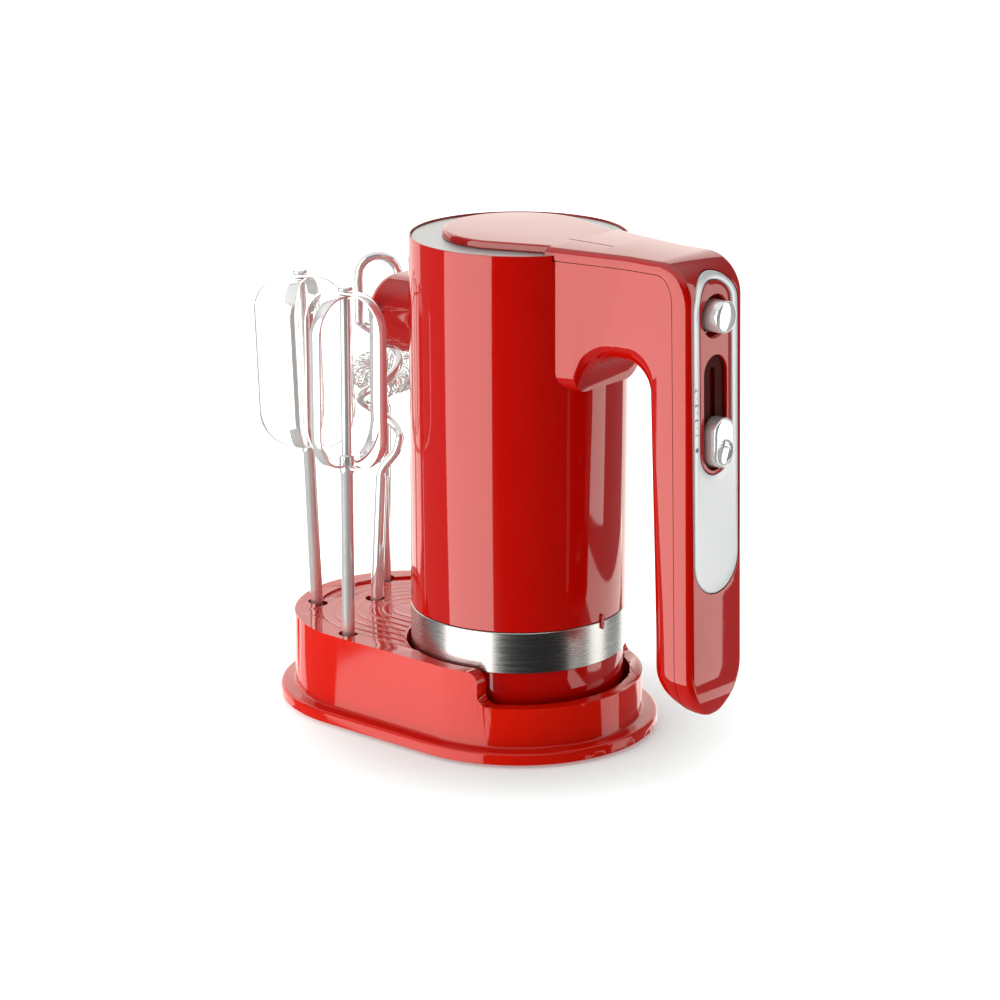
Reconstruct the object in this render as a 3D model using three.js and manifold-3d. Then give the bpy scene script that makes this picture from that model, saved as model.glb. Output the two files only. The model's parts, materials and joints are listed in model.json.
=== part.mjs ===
// Hand mixer in its storage stand, with two beaters, a dough hook and a coil whisk.
// Millimetres. Origin on the floor under the body's axis, +X towards the handle, +Z up.
import * as THREE from 'three';
import { mergeVertices } from 'three/addons/utils/BufferGeometryUtils.js';
import Module from 'manifold-3d';

const wasm = await Module();
wasm.setup();

// Driving dimensions
const GAP = 0.3;
const SIDES = 56;
const BODY_R = 46;
const BODY_WALL = 2.6;
const BODY_IN = BODY_R - BODY_WALL;
const TAIL_LOW = 9.5;
const BAND_LOW = 37;
const BAND_TOP = 54.7;
const RIM_Z = 214.4;
const RING_Z = 213.6;
const CAP_Z = 217;
const CAP_R = 32;
const HANDLE_HALF = 18.5;
const HANDLE_IN = 79.8;
const HANDLE_OUT = 101.5;
const HANDLE_LOW = 27;
const HANDLE_STRAIGHT = 48;
const HANDLE_LEAN = 0.027;
const LEAN_TOP = 200;
const ARM_UNDER = 173;
const OUT_ARC = 16;
const IN_ARC = 14;
const SHELL = 2.4;
const STAND_END = -58.5;
const FLANGE_R = 60;
const STAND_R = 53.4;
const DECK_Z = 39;
const CUP_Z = 24;
const CUP_FLOOR = 7;
const SHANK_R = 2.75;
const HOLE_R = 4.4;
const SOCKET_Y = 13;
const SOCKET_Z = 174;
const SOCKET_X = -64;
const RIGHT = [Math.cos(Math.PI * 40 / 180), Math.sin(Math.PI * 40 / 180)];

const group = new THREE.Group();

// Solids
function solid(geometry) {
  const bare = geometry.clone();
  bare.deleteAttribute('normal');
  bare.deleteAttribute('uv');
  const merged = mergeVertices(bare, 1e-4);
  const mesh = new wasm.Mesh({
    numProp: 3,
    vertProperties: merged.attributes.position.array,
    triVerts: Uint32Array.from(merged.index.array),
  });
  return new wasm.Manifold(mesh);
}

function geometryOf(manifold) {
  const mesh = manifold.getMesh();
  const geometry = new THREE.BufferGeometry();
  geometry.setAttribute('position', new THREE.BufferAttribute(mesh.vertProperties, 3));
  geometry.setIndex(new THREE.BufferAttribute(mesh.triVerts, 1));
  return geometry;
}

// Joins rings of equal length, or single points at the tips, into one closed surface facing out.
function skin(rings, wrap = false) {
  const points = [];
  const starts = rings.map((ring) => {
    const start = points.length;
    points.push(...ring);
    return start;
  });
  const faces = [];
  const joins = wrap ? rings.length : rings.length - 1;
  for (let i = 0; i < joins; i += 1) {
    const j = (i + 1) % rings.length;
    const n = Math.max(rings[i].length, rings[j].length);
    for (let k = 0; k < n; k += 1) {
      const next = (k + 1) % n;
      const a = starts[i] + (rings[i].length > 1 ? k : 0);
      const b = starts[i] + (rings[i].length > 1 ? next : 0);
      const c = starts[j] + (rings[j].length > 1 ? next : 0);
      const d = starts[j] + (rings[j].length > 1 ? k : 0);
      if (a !== b) faces.push([a, b, c]);
      if (c !== d) faces.push([a, c, d]);
    }
  }
  if (!wrap) {
    for (const end of [0, rings.length - 1]) {
      const ring = rings[end];
      if (ring.length < 2) continue;
      const centre = ring.reduce((sum, p) => sum.add(p), new THREE.Vector3()).divideScalar(ring.length);
      const middle = points.push(centre) - 1;
      for (let k = 0; k < ring.length; k += 1) {
        const a = starts[end] + k;
        const b = starts[end] + ((k + 1) % ring.length);
        faces.push(end === 0 ? [b, a, middle] : [a, b, middle]);
      }
    }
  }
  const volume = faces.reduce((sum, [a, b, c]) => {
    const cross = new THREE.Vector3().crossVectors(points[b], points[c]);
    return sum + points[a].dot(cross);
  }, 0);
  const facing = volume < 0 ? faces.map(([a, b, c]) => [a, c, b]) : faces;
  const geometry = new THREE.BufferGeometry();
  geometry.setAttribute('position', new THREE.Float32BufferAttribute(points.flatMap((p) => p.toArray()), 3));
  geometry.setIndex(facing.flat());
  return solid(geometry);
}

// Turns a profile of [radius, z] about the Z axis. A profile that meets the axis at both ends is solid.
function turned(profile, sides = 64, x = 0, y = 0) {
  const rings = profile.map(([r, z]) => {
    if (r === 0) return [new THREE.Vector3(x, y, z)];
    return Array.from({ length: sides }, (_, k) => {
      const angle = 2 * Math.PI * k / sides;
      return new THREE.Vector3(x + r * Math.cos(angle), y + r * Math.sin(angle), z);
    });
  });
  return skin(rings, profile[0][0] !== 0);
}

function rod(r, z0, z1, sides = 24, x = 0, y = 0) {
  return turned([[0, z0], [r, z0], [r, z1], [0, z1]], sides, x, y);
}

function tubeZ(inner, outer, z0, z1, sides = 64, x = 0, y = 0) {
  return turned([[inner, z0], [outer, z0], [outer, z1], [inner, z1]], sides, x, y);
}

function box(x0, x1, y0, y1, z0, z1) {
  const corners = (z) => [[x0, y0], [x1, y0], [x1, y1], [x0, y1]].map(([x, y]) => new THREE.Vector3(x, y, z));
  return skin([corners(z0), corners(z1)]);
}

function extruded(outline, low, high, across, up, along) {
  const shape = new THREE.Shape(outline.map(([a, b]) => new THREE.Vector2(a, b)));
  const geometry = new THREE.ExtrudeGeometry(shape, { depth: high - low, bevelEnabled: false });
  const turn = new THREE.Matrix4().makeBasis(across, up, along);
  geometry.translate(0, 0, low).applyMatrix4(turn);
  return solid(geometry);
}

const AXIS_X = new THREE.Vector3(1, 0, 0);
const AXIS_Y = new THREE.Vector3(0, 1, 0);
const AXIS_Z = new THREE.Vector3(0, 0, 1);

// Outline in X and Y, raised along Z.
function prismZ(outline, low, high) {
  return extruded(outline, low, high, AXIS_X, AXIS_Y, AXIS_Z);
}

// Outline in Y and Z, raised along X.
function prismX(outline, low, high) {
  return extruded(outline, low, high, AXIS_Y, AXIS_Z, AXIS_X);
}

// Outline in X and Z, raised along Y.
function prismY(outline, low, high) {
  return extruded(outline.map(([x, z]) => [z, x]), low, high, AXIS_Z, AXIS_X, AXIS_Y);
}

function arc(cx, cy, r, from, to, steps) {
  return Array.from({ length: steps + 1 }, (_, k) => {
    const angle = (from + (to - from) * k / steps) * Math.PI / 180;
    return [cx + r * Math.cos(angle), cy + r * Math.sin(angle)];
  });
}

// Outline made of two half circles joined by straight sides, drawn in the plane it is extruded from.
function stadium(ax, ay, bx, by, r, steps = 16) {
  const turn = Math.atan2(by - ay, bx - ax) * 180 / Math.PI;
  return [...arc(bx, by, r, turn - 90, turn + 90, steps), ...arc(ax, ay, r, turn + 90, turn + 270, steps)];
}

// Sweeps a section of [across, out] offsets along a path, turning as little as possible.
function swept(path, section, wrap = false, first = null) {
  const points = path.map((p) => new THREE.Vector3(...p));
  const count = points.length;
  const along = points.map((p, i) => {
    const after = points[wrap ? (i + 1) % count : Math.min(i + 1, count - 1)];
    const before = points[wrap ? (i + count - 1) % count : Math.max(i - 1, 0)];
    return after.clone().sub(before).normalize();
  });
  let side = first ? new THREE.Vector3(...first) : new THREE.Vector3(0.31, 0.87, 0.38);
  const rings = points.map((p, i) => {
    side = side.clone().sub(along[i].clone().multiplyScalar(side.dot(along[i]))).normalize();
    const out = new THREE.Vector3().crossVectors(along[i], side);
    return section.map(([a, b]) => p.clone().addScaledVector(side, a).addScaledVector(out, b));
  });
  return skin(rings, wrap);
}

function round(r, sides = 8) {
  return Array.from({ length: sides }, (_, k) => {
    const angle = 2 * Math.PI * k / sides;
    return [r * Math.cos(angle), r * Math.sin(angle)];
  });
}

function add(name, manifold, slot) {
  const look = looks[slot];
  const material = new THREE.MeshStandardMaterial({ color: look[0], roughness: look[1], metalness: look[2] });
  const mesh = new THREE.Mesh(geometryOf(manifold), material);
  mesh.name = name;
  group.add(mesh);
}

const looks = {
  red: [0xb40a05, 0.15, 0],
  stand_red: [0xc81a0e, 0.2, 0],
  silver: [0xe6e8ea, 0.3, 0.6],
  steel: [0x9ea3a3, 0.35, 1],
  chrome: [0xd8dadb, 0.08, 1],
  dark: [0x2a2a2c, 0.6, 0],
  rubber: [0x1c1c1c, 0.85, 0],
  iron: [0x6d6f72, 0.5, 0.8],
  copper: [0xb8733a, 0.4, 0.9],
  brass: [0xc9a54c, 0.35, 0.9],
  carbon: [0x2b2b2b, 0.8, 0],
  white_plastic: [0xe9e6dc, 0.5, 0],
  board: [0x2f6b3c, 0.6, 0],
  screw: [0xa7a9ac, 0.35, 1],
};

// The plan of the cap and arm: a circle over the body, then a straight taper to the handle's width.
const TAPER_COS = 0.218;
const TAPER_SIN = Math.sqrt(1 - TAPER_COS ** 2);

function armHalf(x) {
  const taper = (CAP_R - x * TAPER_COS) / TAPER_SIN;
  return Math.max(taper, HANDLE_HALF) + 0.25 * Math.exp(-Math.abs(taper - HANDLE_HALF));
}

function lean(z) {
  return HANDLE_LEAN * Math.max(0, LEAN_TOP - z);
}

// Stations from the body, round the corner and down to the handle's end.
function armStations() {
  const list = [];
  const root = 34;
  const outCentre = [HANDLE_OUT - OUT_ARC, CAP_Z - OUT_ARC];
  const inCentre = [HANDLE_IN - IN_ARC, ARM_UNDER - IN_ARC];
  const flareEnd = 62;
  const flareR = 16;
  for (let k = 0; k < 7; k += 1) {
    const xi = root + (inCentre[0] - root) * k / 7;
    const xo = root + (outCentre[0] - root) * k / 7;
    const reach = Math.min(Math.max(flareEnd - xi, 0), flareR);
    const drop = flareR - Math.sqrt(flareR ** 2 - reach ** 2);
    list.push({ inner: [xi, ARM_UNDER - drop], outer: [xo, CAP_Z], end: 1 });
  }
  for (let k = 0; k <= 6; k += 1) {
    const angle = (90 * k / 6) * Math.PI / 180;
    const across = Math.sin(angle);
    const up = Math.cos(angle);
    list.push({
      inner: [inCentre[0] + IN_ARC * across, inCentre[1] + IN_ARC * up],
      outer: [outCentre[0] + OUT_ARC * across, outCentre[1] + OUT_ARC * up],
      end: 1,
    });
  }
  for (let k = 1; k <= 2; k += 1) {
    list.push({
      inner: [HANDLE_IN, inCentre[1] + (HANDLE_STRAIGHT - inCentre[1]) * k / 2],
      outer: [HANDLE_OUT, outCentre[1] + (HANDLE_STRAIGHT - outCentre[1]) * k / 2],
      end: 1,
    });
  }
  const drop = HANDLE_STRAIGHT - HANDLE_LOW;
  for (let k = 1; k <= 5; k += 1) {
    const u = Math.sin(Math.PI / 2 * k / 5.3);
    const keep = Math.sqrt(1 - u ** 2);
    const z = HANDLE_STRAIGHT - drop * u;
    const thick = (HANDLE_OUT - HANDLE_IN) * (0.12 + 0.88 * keep);
    const back = 3 * (1 - keep);
    list.push({ inner: [HANDLE_OUT - thick, z], outer: [HANDLE_OUT - back, z], end: keep });
  }
  return list;
}

// The arm and handle as one solid, drawn in from its skin by an even amount.
function armSolid(inset = 0) {
  const rings = armStations().map(({ inner, outer, end }) => {
    const base = [inner[0] + lean(inner[1]), inner[1]];
    const top = [outer[0] + lean(outer[1]), outer[1]];
    const length = Math.hypot(top[0] - base[0], top[1] - base[1]);
    const dir = [(top[0] - base[0]) / length, (top[1] - base[1]) / length];
    const half = Math.max(armHalf((inner[0] + outer[0]) / 2) * end - inset, 0.4);
    const depth = Math.max(length - 2 * inset, 0.6);
    const start = (length - depth) / 2;
    const rOut = Math.max(Math.min(3.6 - inset, half * 0.9, depth * 0.3), 0.3);
    const rIn = Math.max(Math.min(9 - inset, half * 0.9, depth * 0.6), 0.3);
    const outline = [
      ...arc(half - rOut, depth - rOut, rOut, 0, 90, 2),
      ...arc(-(half - rOut), depth - rOut, rOut, 90, 180, 2),
      ...arc(-(half - rIn), rIn, rIn, 180, 270, 3),
      ...arc(half - rIn, rIn, rIn, 270, 360, 3),
    ];
    return outline.map(([y, t]) => {
      const out = t + start;
      return new THREE.Vector3(base[0] + dir[0] * out, y, base[1] + dir[1] * out);
    });
  });
  return skin(rings);
}

// The outer skin line of the arm and handle, moved inwards, as [x, z].
function outerLine(depthTop, depthSide, from = 20, low = 20) {
  const cx = HANDLE_OUT - OUT_ARC;
  const cz = CAP_Z - OUT_ARC;
  const bend = Array.from({ length: 9 }, (_, k) => {
    const angle = Math.PI / 2 * k / 8;
    return [cx + (OUT_ARC - depthSide) * Math.sin(angle), cz + (OUT_ARC - depthTop) * Math.cos(angle)];
  });
  return [[from, CAP_Z - depthTop], ...bend, [HANDLE_OUT - depthSide + lean(low), low]];
}

function band(top0, side0, top1, side1, from, low) {
  return [...outerLine(top0, side0, from, low), ...outerLine(top1, side1, from, low).reverse()];
}

// A stadium on the handle's outer face, as a bar along X.
function faceBar(half, low, high) {
  return prismX(stadium(0, low + half, 0, high - half, half, 12), 70, 130);
}

function faceSheet(half, low, high, depth0, depth1) {
  const layer = prismY(band(depth0, depth0, depth1, depth1, 60, 20), -25, 25);
  return faceBar(half, low, high).intersect(layer);
}

// A bar and a tube that run along X.
function barX(r, x0, x1, y, z, sides = 24) {
  return rod(r, x0, x1, sides).rotate([0, 90, 0]).translate([0, y, z]);
}

function tubeX(inner, outer, x0, x1, y, z, sides = 24) {
  return tubeZ(inner, outer, x0, x1, sides).rotate([0, 90, 0]).translate([0, y, z]);
}

function union(list) {
  return wasm.Manifold.union(list);
}

// Storage stand
function standRings(profile) {
  return skin(profile.map(([r, z]) =>
    stadium(STAND_END, 0, 0, 0, r, 14).map(([x, y]) => new THREE.Vector3(x, y, z))));
}

// The step between the high deck and the low cup, seen from the side; wall moves it into the solid.
function stepOutline(wall) {
  const bend = 5;
  const left = 14;
  return [
    [left, 60],
    ...arc(left, DECK_Z - bend, bend - wall, 90, 0, 5),
    ...arc(left + 2 * bend, CUP_Z + bend, bend + wall, 180, 270, 5),
    [80, CUP_Z - wall],
    [80, 60],
  ];
}

const wells = {
  beater_1: [-96.9, -22.1],
  beater_2: [-56.6, -46.1],
  dough_hook: [-82.4, -0.6],
  whisk: [-97.2, 22.4],
};
const standBosses = [[-104, 0], [-60, 24]];
const feet = [[0, 0], [-92, 32], [-92, -32], [32, 36], [32, -36]];
const plateTop = 4;
const plateLow = 1.7;
const flangeIn = FLANGE_R - 3;
const skirt = standRings([
  [FLANGE_R, 1.5], [FLANGE_R, 4.6], [FLANGE_R - 0.8, 6], [FLANGE_R - 2.2, 6.6],
  [STAND_R + 1.2, 6.9], [STAND_R + 0.4, 8], [STAND_R, 36], [STAND_R - 0.9, 38.1], [STAND_R - 3, DECK_Z],
]);
const standCavity = standRings([[STAND_R - 2.4, 4], [STAND_R - 2.4, DECK_Z - 2.4]]);
const hollowCut = standCavity
  .subtract(prismY(stepOutline(2.4), -80, 80))
  .add(standRings([[flangeIn, 1], [flangeIn, plateTop + GAP]]));
const cupR = BODY_R + 2;
const wellTubes = Object.values(wells).map(([x, y]) => rod(HOLE_R + 2, 4.6, DECK_Z, 12, x, y));
const bossTubes = standBosses.map(([x, y]) => tubeZ(1.7, 4, 4.4, DECK_Z - 1, 10, x, y));
const cupWall = tubeZ(cupR - 1, cupR + 2.2, 4.6, DECK_Z, 48);
const cupBase = rod(cupR + 1, 4.6, CUP_FLOOR, 48);
const standOuter = skirt.subtract(prismY(stepOutline(0), -80, 80));
const standShell = standOuter
  .subtract(hollowCut)
  .add(union([...wellTubes, ...bossTubes, cupWall, cupBase]).intersect(standOuter))
  .subtract(rod(cupR, CUP_FLOOR, 60, 48))
  .subtract(union(Object.values(wells).map(([x, y]) => rod(HOLE_R, 6.6, 60, 14, x, y))));
add('stand_shell', standShell, 'stand_red');
const plateHoles = standBosses.map(([x, y]) => rod(3.3, 0, 10, 12, x, y));
add('stand_base_plate', standRings([[flangeIn - GAP, plateLow], [flangeIn - GAP, plateTop]])
  .subtract(union(plateHoles)), 'dark');
feet.forEach(([x, y], i) => {
  add(`stand_foot_${i + 1}`, turned([[0, 0], [5.6, 0], [6, 1.4], [0, 1.4]], 16, x, y), 'rubber');
});
standBosses.forEach(([x, y], i) => {
  const screw = turned([[0, 1.8], [2.9, 1.8], [2.9, 3.4], [1.4, 3.4], [1.4, 14], [0, 14.6]], 10, x, y);
  add(`stand_screw_${i + 1}`, screw, 'screw');
});

// Mixer body, arm and the inner half of the handle
const partTop = 5;
const partSide = 8;
const coverRegion = prismY(band(-9, -9, partTop - GAP / 2, partSide - GAP / 2, 20, 10), -60, 60);
const outsideParting = prismY(band(-9, -9, partTop + GAP / 2, partSide + GAP / 2, 20, 10), -60, 60);
const arm = armSolid();
const armCavity = armSolid(SHELL);
const thickFace = prismY(band(-9, -9, SHELL, 4.8, 20, 10), -60, 60);
const planOf = (inset) => {
  const r = CAP_R - inset;
  const tangent = Math.acos(TAPER_COS) * 180 / Math.PI;
  const farX = 72;
  const farHalf = armHalf(farX) - inset;
  return [[farX, -farHalf], [farX, farHalf], ...arc(0, 0, r, tangent, 360 - tangent, 26)];
};
const nearArm = box(33, 90, -40, 40, 200, 230);
const armNotch = prismZ(planOf(-GAP), CAP_Z - partTop - GAP / 2, CAP_Z + 5).intersect(nearArm);
const buttonZ = 194.7;
const handleScrews = [64, 112];
const screwX = (z) => HANDLE_IN + lean(z);
const sleeve = tubeZ(BODY_IN - 1, 44.7, BAND_LOW, BAND_TOP + 0.7, SIDES);
const barrel = turned([[BODY_IN - 1, BAND_TOP + 0.6], [BODY_R, BAND_TOP + 0.3], [BODY_R, RIM_Z - 0.5],
  [BODY_R - 0.4, RIM_Z], [45.1, RIM_Z], [45.1, 211.2], [BODY_IN, 211.2], [BODY_IN, BAND_TOP + 5]], SIDES);
const shellBosses = handleScrews.map((z) => barX(5, screwX(z) + 1, screwX(z) + 7, 0, z, 20));
const pointer = union([
  box(45, 46.9, -1.5, 0.1, BAND_TOP + 0.5, 58),
  box(46.25, 46.9, -1.5, 0.1, 51.5, 58),
]);
const bodyShell = barrel
  .add(sleeve)
  .add(arm.subtract(outsideParting).subtract(rod(BODY_IN, 20, 260, SIDES)))
  .subtract(armCavity)
  .add(union(shellBosses).intersect(arm))
  .subtract(union(handleScrews.flatMap((z) => [
    barX(3.2, 70, screwX(z) + 4.5, 0, z, 20),
    barX(1.7, 70, 110, 0, z, 16),
  ])))
  .subtract(armNotch)
  .subtract(union([-SOCKET_Y, SOCKET_Y].map((y) => barX(7, -60, -30, y, SOCKET_Z))))
  .add(pointer);
add('body_shell', bodyShell, 'red');

add('steel_band', tubeZ(45, BODY_R, BAND_LOW, BAND_TOP, SIDES), 'steel');
const vents = Array.from({ length: 8 }, (_, k) => box(16, 35, -1.6, 1.6, 5, 14).rotate([0, 0, 45 * k]));
add('tail_cap', turned([[0, TAIL_LOW], [39, TAIL_LOW], [42.6, 11.2], [44.4, 15], [45, BAND_LOW - GAP],
  [42.6, BAND_LOW - GAP], [42, 16], [38, 12], [0, 12]], 48).subtract(union(vents)), 'red');
const ringNotch = prismZ(planOf(-GAP), 205, CAP_Z + 5).intersect(nearArm);
add('front_ring', tubeZ(29.5, 44.8, 211.5, RING_Z, 48).subtract(ringNotch), 'silver');

// Top cover: the teardrop cap, the arm's top and the handle's outer half
const capDisc = skin([[0, 213.9], [0, 214.6], [1, 216.2], [2.6, CAP_Z]].map(([inset, z]) =>
  planOf(inset).map(([x, y]) => new THREE.Vector3(Math.min(x, 58), y, z))));
const coverHalf = arm.intersect(coverRegion)
  .subtract(armCavity.subtract(thickFace))
  .subtract(rod(BODY_R + GAP, 0, CAP_Z - partTop + GAP, SIDES));
const pocket = faceSheet(15.3, 79.3, 212.9, -9, 2.3);
const insetPocket = faceSheet(10.6, 129.4, 209.3, -9, 3.8);
const coverBosses = handleScrews.map((z) => barX(3.6, screwX(z) + 7.4, screwX(z) + 19, 0, z, 20));
const cover = capDisc
  .add(coverHalf)
  .add(union(coverBosses).intersect(arm))
  .subtract(pocket)
  .subtract(insetPocket)
  .subtract(union(handleScrews.map((z) => barX(1.7, 80, screwX(z) + 16, 0, z, 16))))
  .subtract(barX(7, 90, 110, 0, buttonZ))
  .subtract(box(90, 110, -2, 2, 135, 174));
add('top_cover', cover, 'red');

add('trim_panel', faceSheet(15, 79.6, 212.6, 0, 2).subtract(faceBar(10.6, 129.4, 209.3)), 'silver');
const slot = faceBar(7.6, 131.2, 178.6);
add('control_inset', faceSheet(10.3, 129.7, 209, 0, 1.6)
  .subtract(slot)
  .subtract(barX(8.4, 90, 110, 0, buttonZ, 32)), 'red');
const trackSlit = box(90, 110, -1.7, 1.7, 135.5, 173.5);
add('slider_track', faceSheet(9.6, 130.6, 180, 1.9, 3.5).subtract(trackSlit), 'dark');

// Beater sockets' housing on the side away from the handle
const bossRings = [[16.5, 38], [16.5, 58], [15, 62], [10.6, 65]];
const bossSkin = (list) => skin(list.map(([r, x]) =>
  stadium(-9, SOCKET_Z, 9, SOCKET_Z, r, 9).map(([y, z]) => new THREE.Vector3(-x, y, z))));
add('socket_housing', bossSkin(bossRings)
  .subtract(rod(BODY_R + GAP, 100, 230, SIDES))
  .subtract(bossSkin([[14, 30], [14, 58], [11.4, 62.4]]))
  .subtract(union([-SOCKET_Y, SOCKET_Y].map((y) => barX(5, -70, -30, y, SOCKET_Z)))), 'red');

// Motor
const coreLow = 78;
const coreTop = 112;
add('motor_stator', tubeZ(24, 31, coreLow - 2, coreTop + 2, 32), 'iron');
for (const [i, side] of [1, -1].entries()) {
  const sector = prismZ([[0, 0], ...arc(0, 0, 60, 90 * side - 55, 90 * side + 55, 6)], 60, 130);
  const window = prismZ([[0, 0], ...arc(0, 0, 60, 90 * side - 30, 90 * side + 30, 6)], coreLow + 1, coreTop - 1);
  add(`field_coil_${i + 1}`, tubeZ(19.4, 23.7, 71, 119, 32).intersect(sector).subtract(window), 'copper');
}
const slots = Array.from({ length: 10 }, (_, k) => box(14, 20, -1.1, 1.1, 60, 130).rotate([0, 0, 36 * k + 15]));
add('armature_core', tubeZ(3.3, 18.8, coreLow, coreTop, 30).subtract(union(slots)), 'iron');
add('winding_lower', turned([[3.3, coreLow - 7], [13, coreLow - 7], [16.5, coreLow - 3], [16.5, coreLow - GAP],
  [3.3, coreLow - GAP]], 20), 'copper');
add('winding_upper', turned([[3.3, coreTop + GAP], [16.5, coreTop + GAP], [16.5, coreTop + 3], [13, coreTop + 7],
  [3.3, coreTop + 7]], 20), 'copper');
const bars = Array.from({ length: 8 }, (_, k) => box(8.2, 10, -0.3, 0.3, 50, 75).rotate([0, 0, 45 * k]));
add('commutator', tubeZ(3.3, 9, 59, 70, 16).subtract(union(bars)), 'copper');
const blades = Array.from({ length: 8 }, (_, k) => box(7, 30, -0.6, 0.6, 47, 55).rotate([0, 0, 45 * k]));
add('fan', union([tubeZ(3.3, 8, 46, 56, 16), tubeZ(7, 31, 46, 47.4, 32), ...blades]), 'white_plastic');

const wormLow = SOCKET_Z - 10;
const wormTop = SOCKET_Z + 10;
const wormRings = Array.from({ length: 31 }, (_, k) => {
  const z = wormLow + (wormTop - wormLow) * k / 30;
  const turn = 2 * Math.PI * k / 8;
  return Array.from({ length: 10 }, (_, i) => {
    const angle = 2 * Math.PI * i / 10;
    const r = 2.75 + 0.4 * Math.cos(2 * (angle - turn / 2));
    return new THREE.Vector3(r * Math.cos(angle), r * Math.sin(angle), z);
  });
});
const shaftLow = rod(3, 38, wormLow + 0.2, 16);
const shaftTop = rod(2.3, wormTop - 0.2, 190.5, 12);
add('armature_shaft', union([shaftLow, skin(wormRings), shaftTop]), 'steel');

const brushZ = 64.5;
for (const [i, side] of [1, -1].entries()) {
  const [near, far] = side > 0 ? [12, 27] : [-27, -12];
  const holder = box(near, far, -4.4, 4.4, brushZ - 4.4, brushZ + 4.4)
    .subtract(box(near - 5, far + 5, -3, 3, brushZ - 3, brushZ + 3));
  add(`brush_holder_${i + 1}`, holder, 'brass');
  const [tip, back] = side > 0 ? [9.3, 22] : [-22, -9.3];
  add(`carbon_brush_${i + 1}`, box(tip, back, -2.6, 2.6, brushZ - 2.6, brushZ + 2.6), 'carbon');
}
const lowerBracket = box(-41, 41, -7, 7, 38.2, 41.4).add(rod(8, 38.2, 44, 16));
add('lower_bracket', lowerBracket.subtract(rod(5.3, 30, 50, 16)), 'dark');
add('lower_bearing', tubeZ(3.1, 5, 38.4, 43.8, 16), 'brass');
const portR = 26;
const ports = [[portR, 0], [0, portR], [-portR, 0], [0, -portR]].map(([x, y]) => rod(6, 120, 130, 10, x, y));
const upperBracket = rod(43, 122, 125, 40).add(rod(8, 122, 128, 16));
add('upper_bracket', upperBracket.subtract(union([rod(5.3, 120, 130, 16), ...ports])), 'dark');
add('upper_bearing', tubeZ(3.1, 5, 122.2, 127.8, 16), 'brass');

// Gear frame, worm gears and drive spindles
const frameLow = 146;
const frameTop = 192;
const gearFrame = box(-28, 15, -27, 27, frameLow, frameTop)
  .subtract(box(-25, 12, -30, 30, frameLow + 3, frameTop - 3))
  .subtract(rod(3.6, 140, 160, 20))
  .subtract(rod(2.6, 180, 200, 20))
  .subtract(union([-SOCKET_Y, SOCKET_Y].flatMap((y) => [
    barX(4.9, -30, -20, y, SOCKET_Z),
    barX(2.5, 10, 20, y, SOCKET_Z),
  ])));
add('gear_frame', gearFrame, 'white_plastic');
const teeth = 20;
const gearTip = SOCKET_Y - 3.15 - GAP;
const gearOutline = Array.from({ length: teeth * 4 }, (_, k) => {
  const r = k % 4 < 2 ? gearTip : gearTip - 1.1;
  const angle = 2 * Math.PI * (k + 0.5) / (teeth * 4);
  return [r * Math.cos(angle), r * Math.sin(angle)];
});
for (const [i, y] of [-SOCKET_Y, SOCKET_Y].entries()) {
  const gear = prismX(gearOutline.map(([a, b]) => [a + y, b + SOCKET_Z]), -5, 5);
  add(`worm_gear_${i + 1}`, gear.subtract(barX(4.9, -10, 10, y, SOCKET_Z)), 'white_plastic');
  add(`drive_spindle_${i + 1}`, tubeX(3.05, 4.6, SOCKET_X, 11.6, y, SOCKET_Z, 16), 'steel');
}

// Beater release button, its rod and spring
const buttonFace = 107.6;
add('eject_button', turned([[0, 98], [6.6, 98], [6.6, 106.4], [6.1, 107.2], [5, buttonFace], [0, buttonFace]], 32)
  .rotate([0, 90, 0]).translate([0, 0, buttonZ]), 'chrome');
const pins = [-SOCKET_Y, SOCKET_Y].map((y) => barX(2, 13, 21, y, SOCKET_Z, 16));
add('eject_rod', union([
  barX(2.1, 21, 97.7, 0, buttonZ, 16),
  box(20, 23, -16, 16, SOCKET_Z - 3, SOCKET_Z + 3),
  box(20, 23, -4, 4, SOCKET_Z - 3, buttonZ + 4),
  ...pins,
]), 'white_plastic');
const guideX = 84;
add('rod_guide', box(guideX, guideX + 2.5, -12, 12, buttonZ - 8, buttonZ + 8)
  .subtract(barX(2.5, 80, 90, 0, buttonZ, 20)), 'dark');
const springTurns = 4;
const springPath = Array.from({ length: springTurns * 8 + 1 }, (_, k) => {
  const angle = 2 * Math.PI * k / 8;
  return [guideX + 3.4 + 9.6 * k / (springTurns * 8), 4 * Math.cos(angle), buttonZ + 4 * Math.sin(angle)];
});
add('eject_spring', swept(springPath, round(0.45, 5), false, [1, 0, 0]), 'steel');

// Speed slider and switch
const sliderLow = 132.7;
const sliderTop = 153.4;
const knobHalf = 6.3;
const knob = faceSheet(knobHalf, sliderLow, sliderTop, -4.6, 1.5);
add('speed_slider', knob.add(box(96, 103, -1.3, 1.3, 138.5, 148)), 'chrome');
add('slider_contact', box(92.3, 95.7, -4, 4, 137, 149.5), 'brass');
add('switch_block', box(87.4, 91.2, -6.5, 6.5, 128, 180), 'dark');
add('switch_board', box(85.5, 87.1, -9, 9, 120, 183), 'board');
handleScrews.forEach((z, i) => {
  const head = screwX(z) + 2.4;
  const screw = union([barX(2.8, head, head + 1.8, 0, z, 16), barX(1.4, head + 1.7, head + 12, 0, z, 12)]);
  add(`handle_screw_${i + 1}`, screw, 'screw');
});

// Attachments: each is built upright from its lower end, then leaned and set down in its well.
const REST_Z = 7;
const MID_WELL = 23;

function place(manifold, [x, y], slope) {
  const angle = Math.atan(slope) * 180 / Math.PI;
  const away = slope * (REST_Z - MID_WELL);
  return manifold
    .rotate([0, angle, 0])
    .rotate([0, 0, 40])
    .translate([x + away * RIGHT[0], y + away * RIGHT[1], REST_Z]);
}

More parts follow.
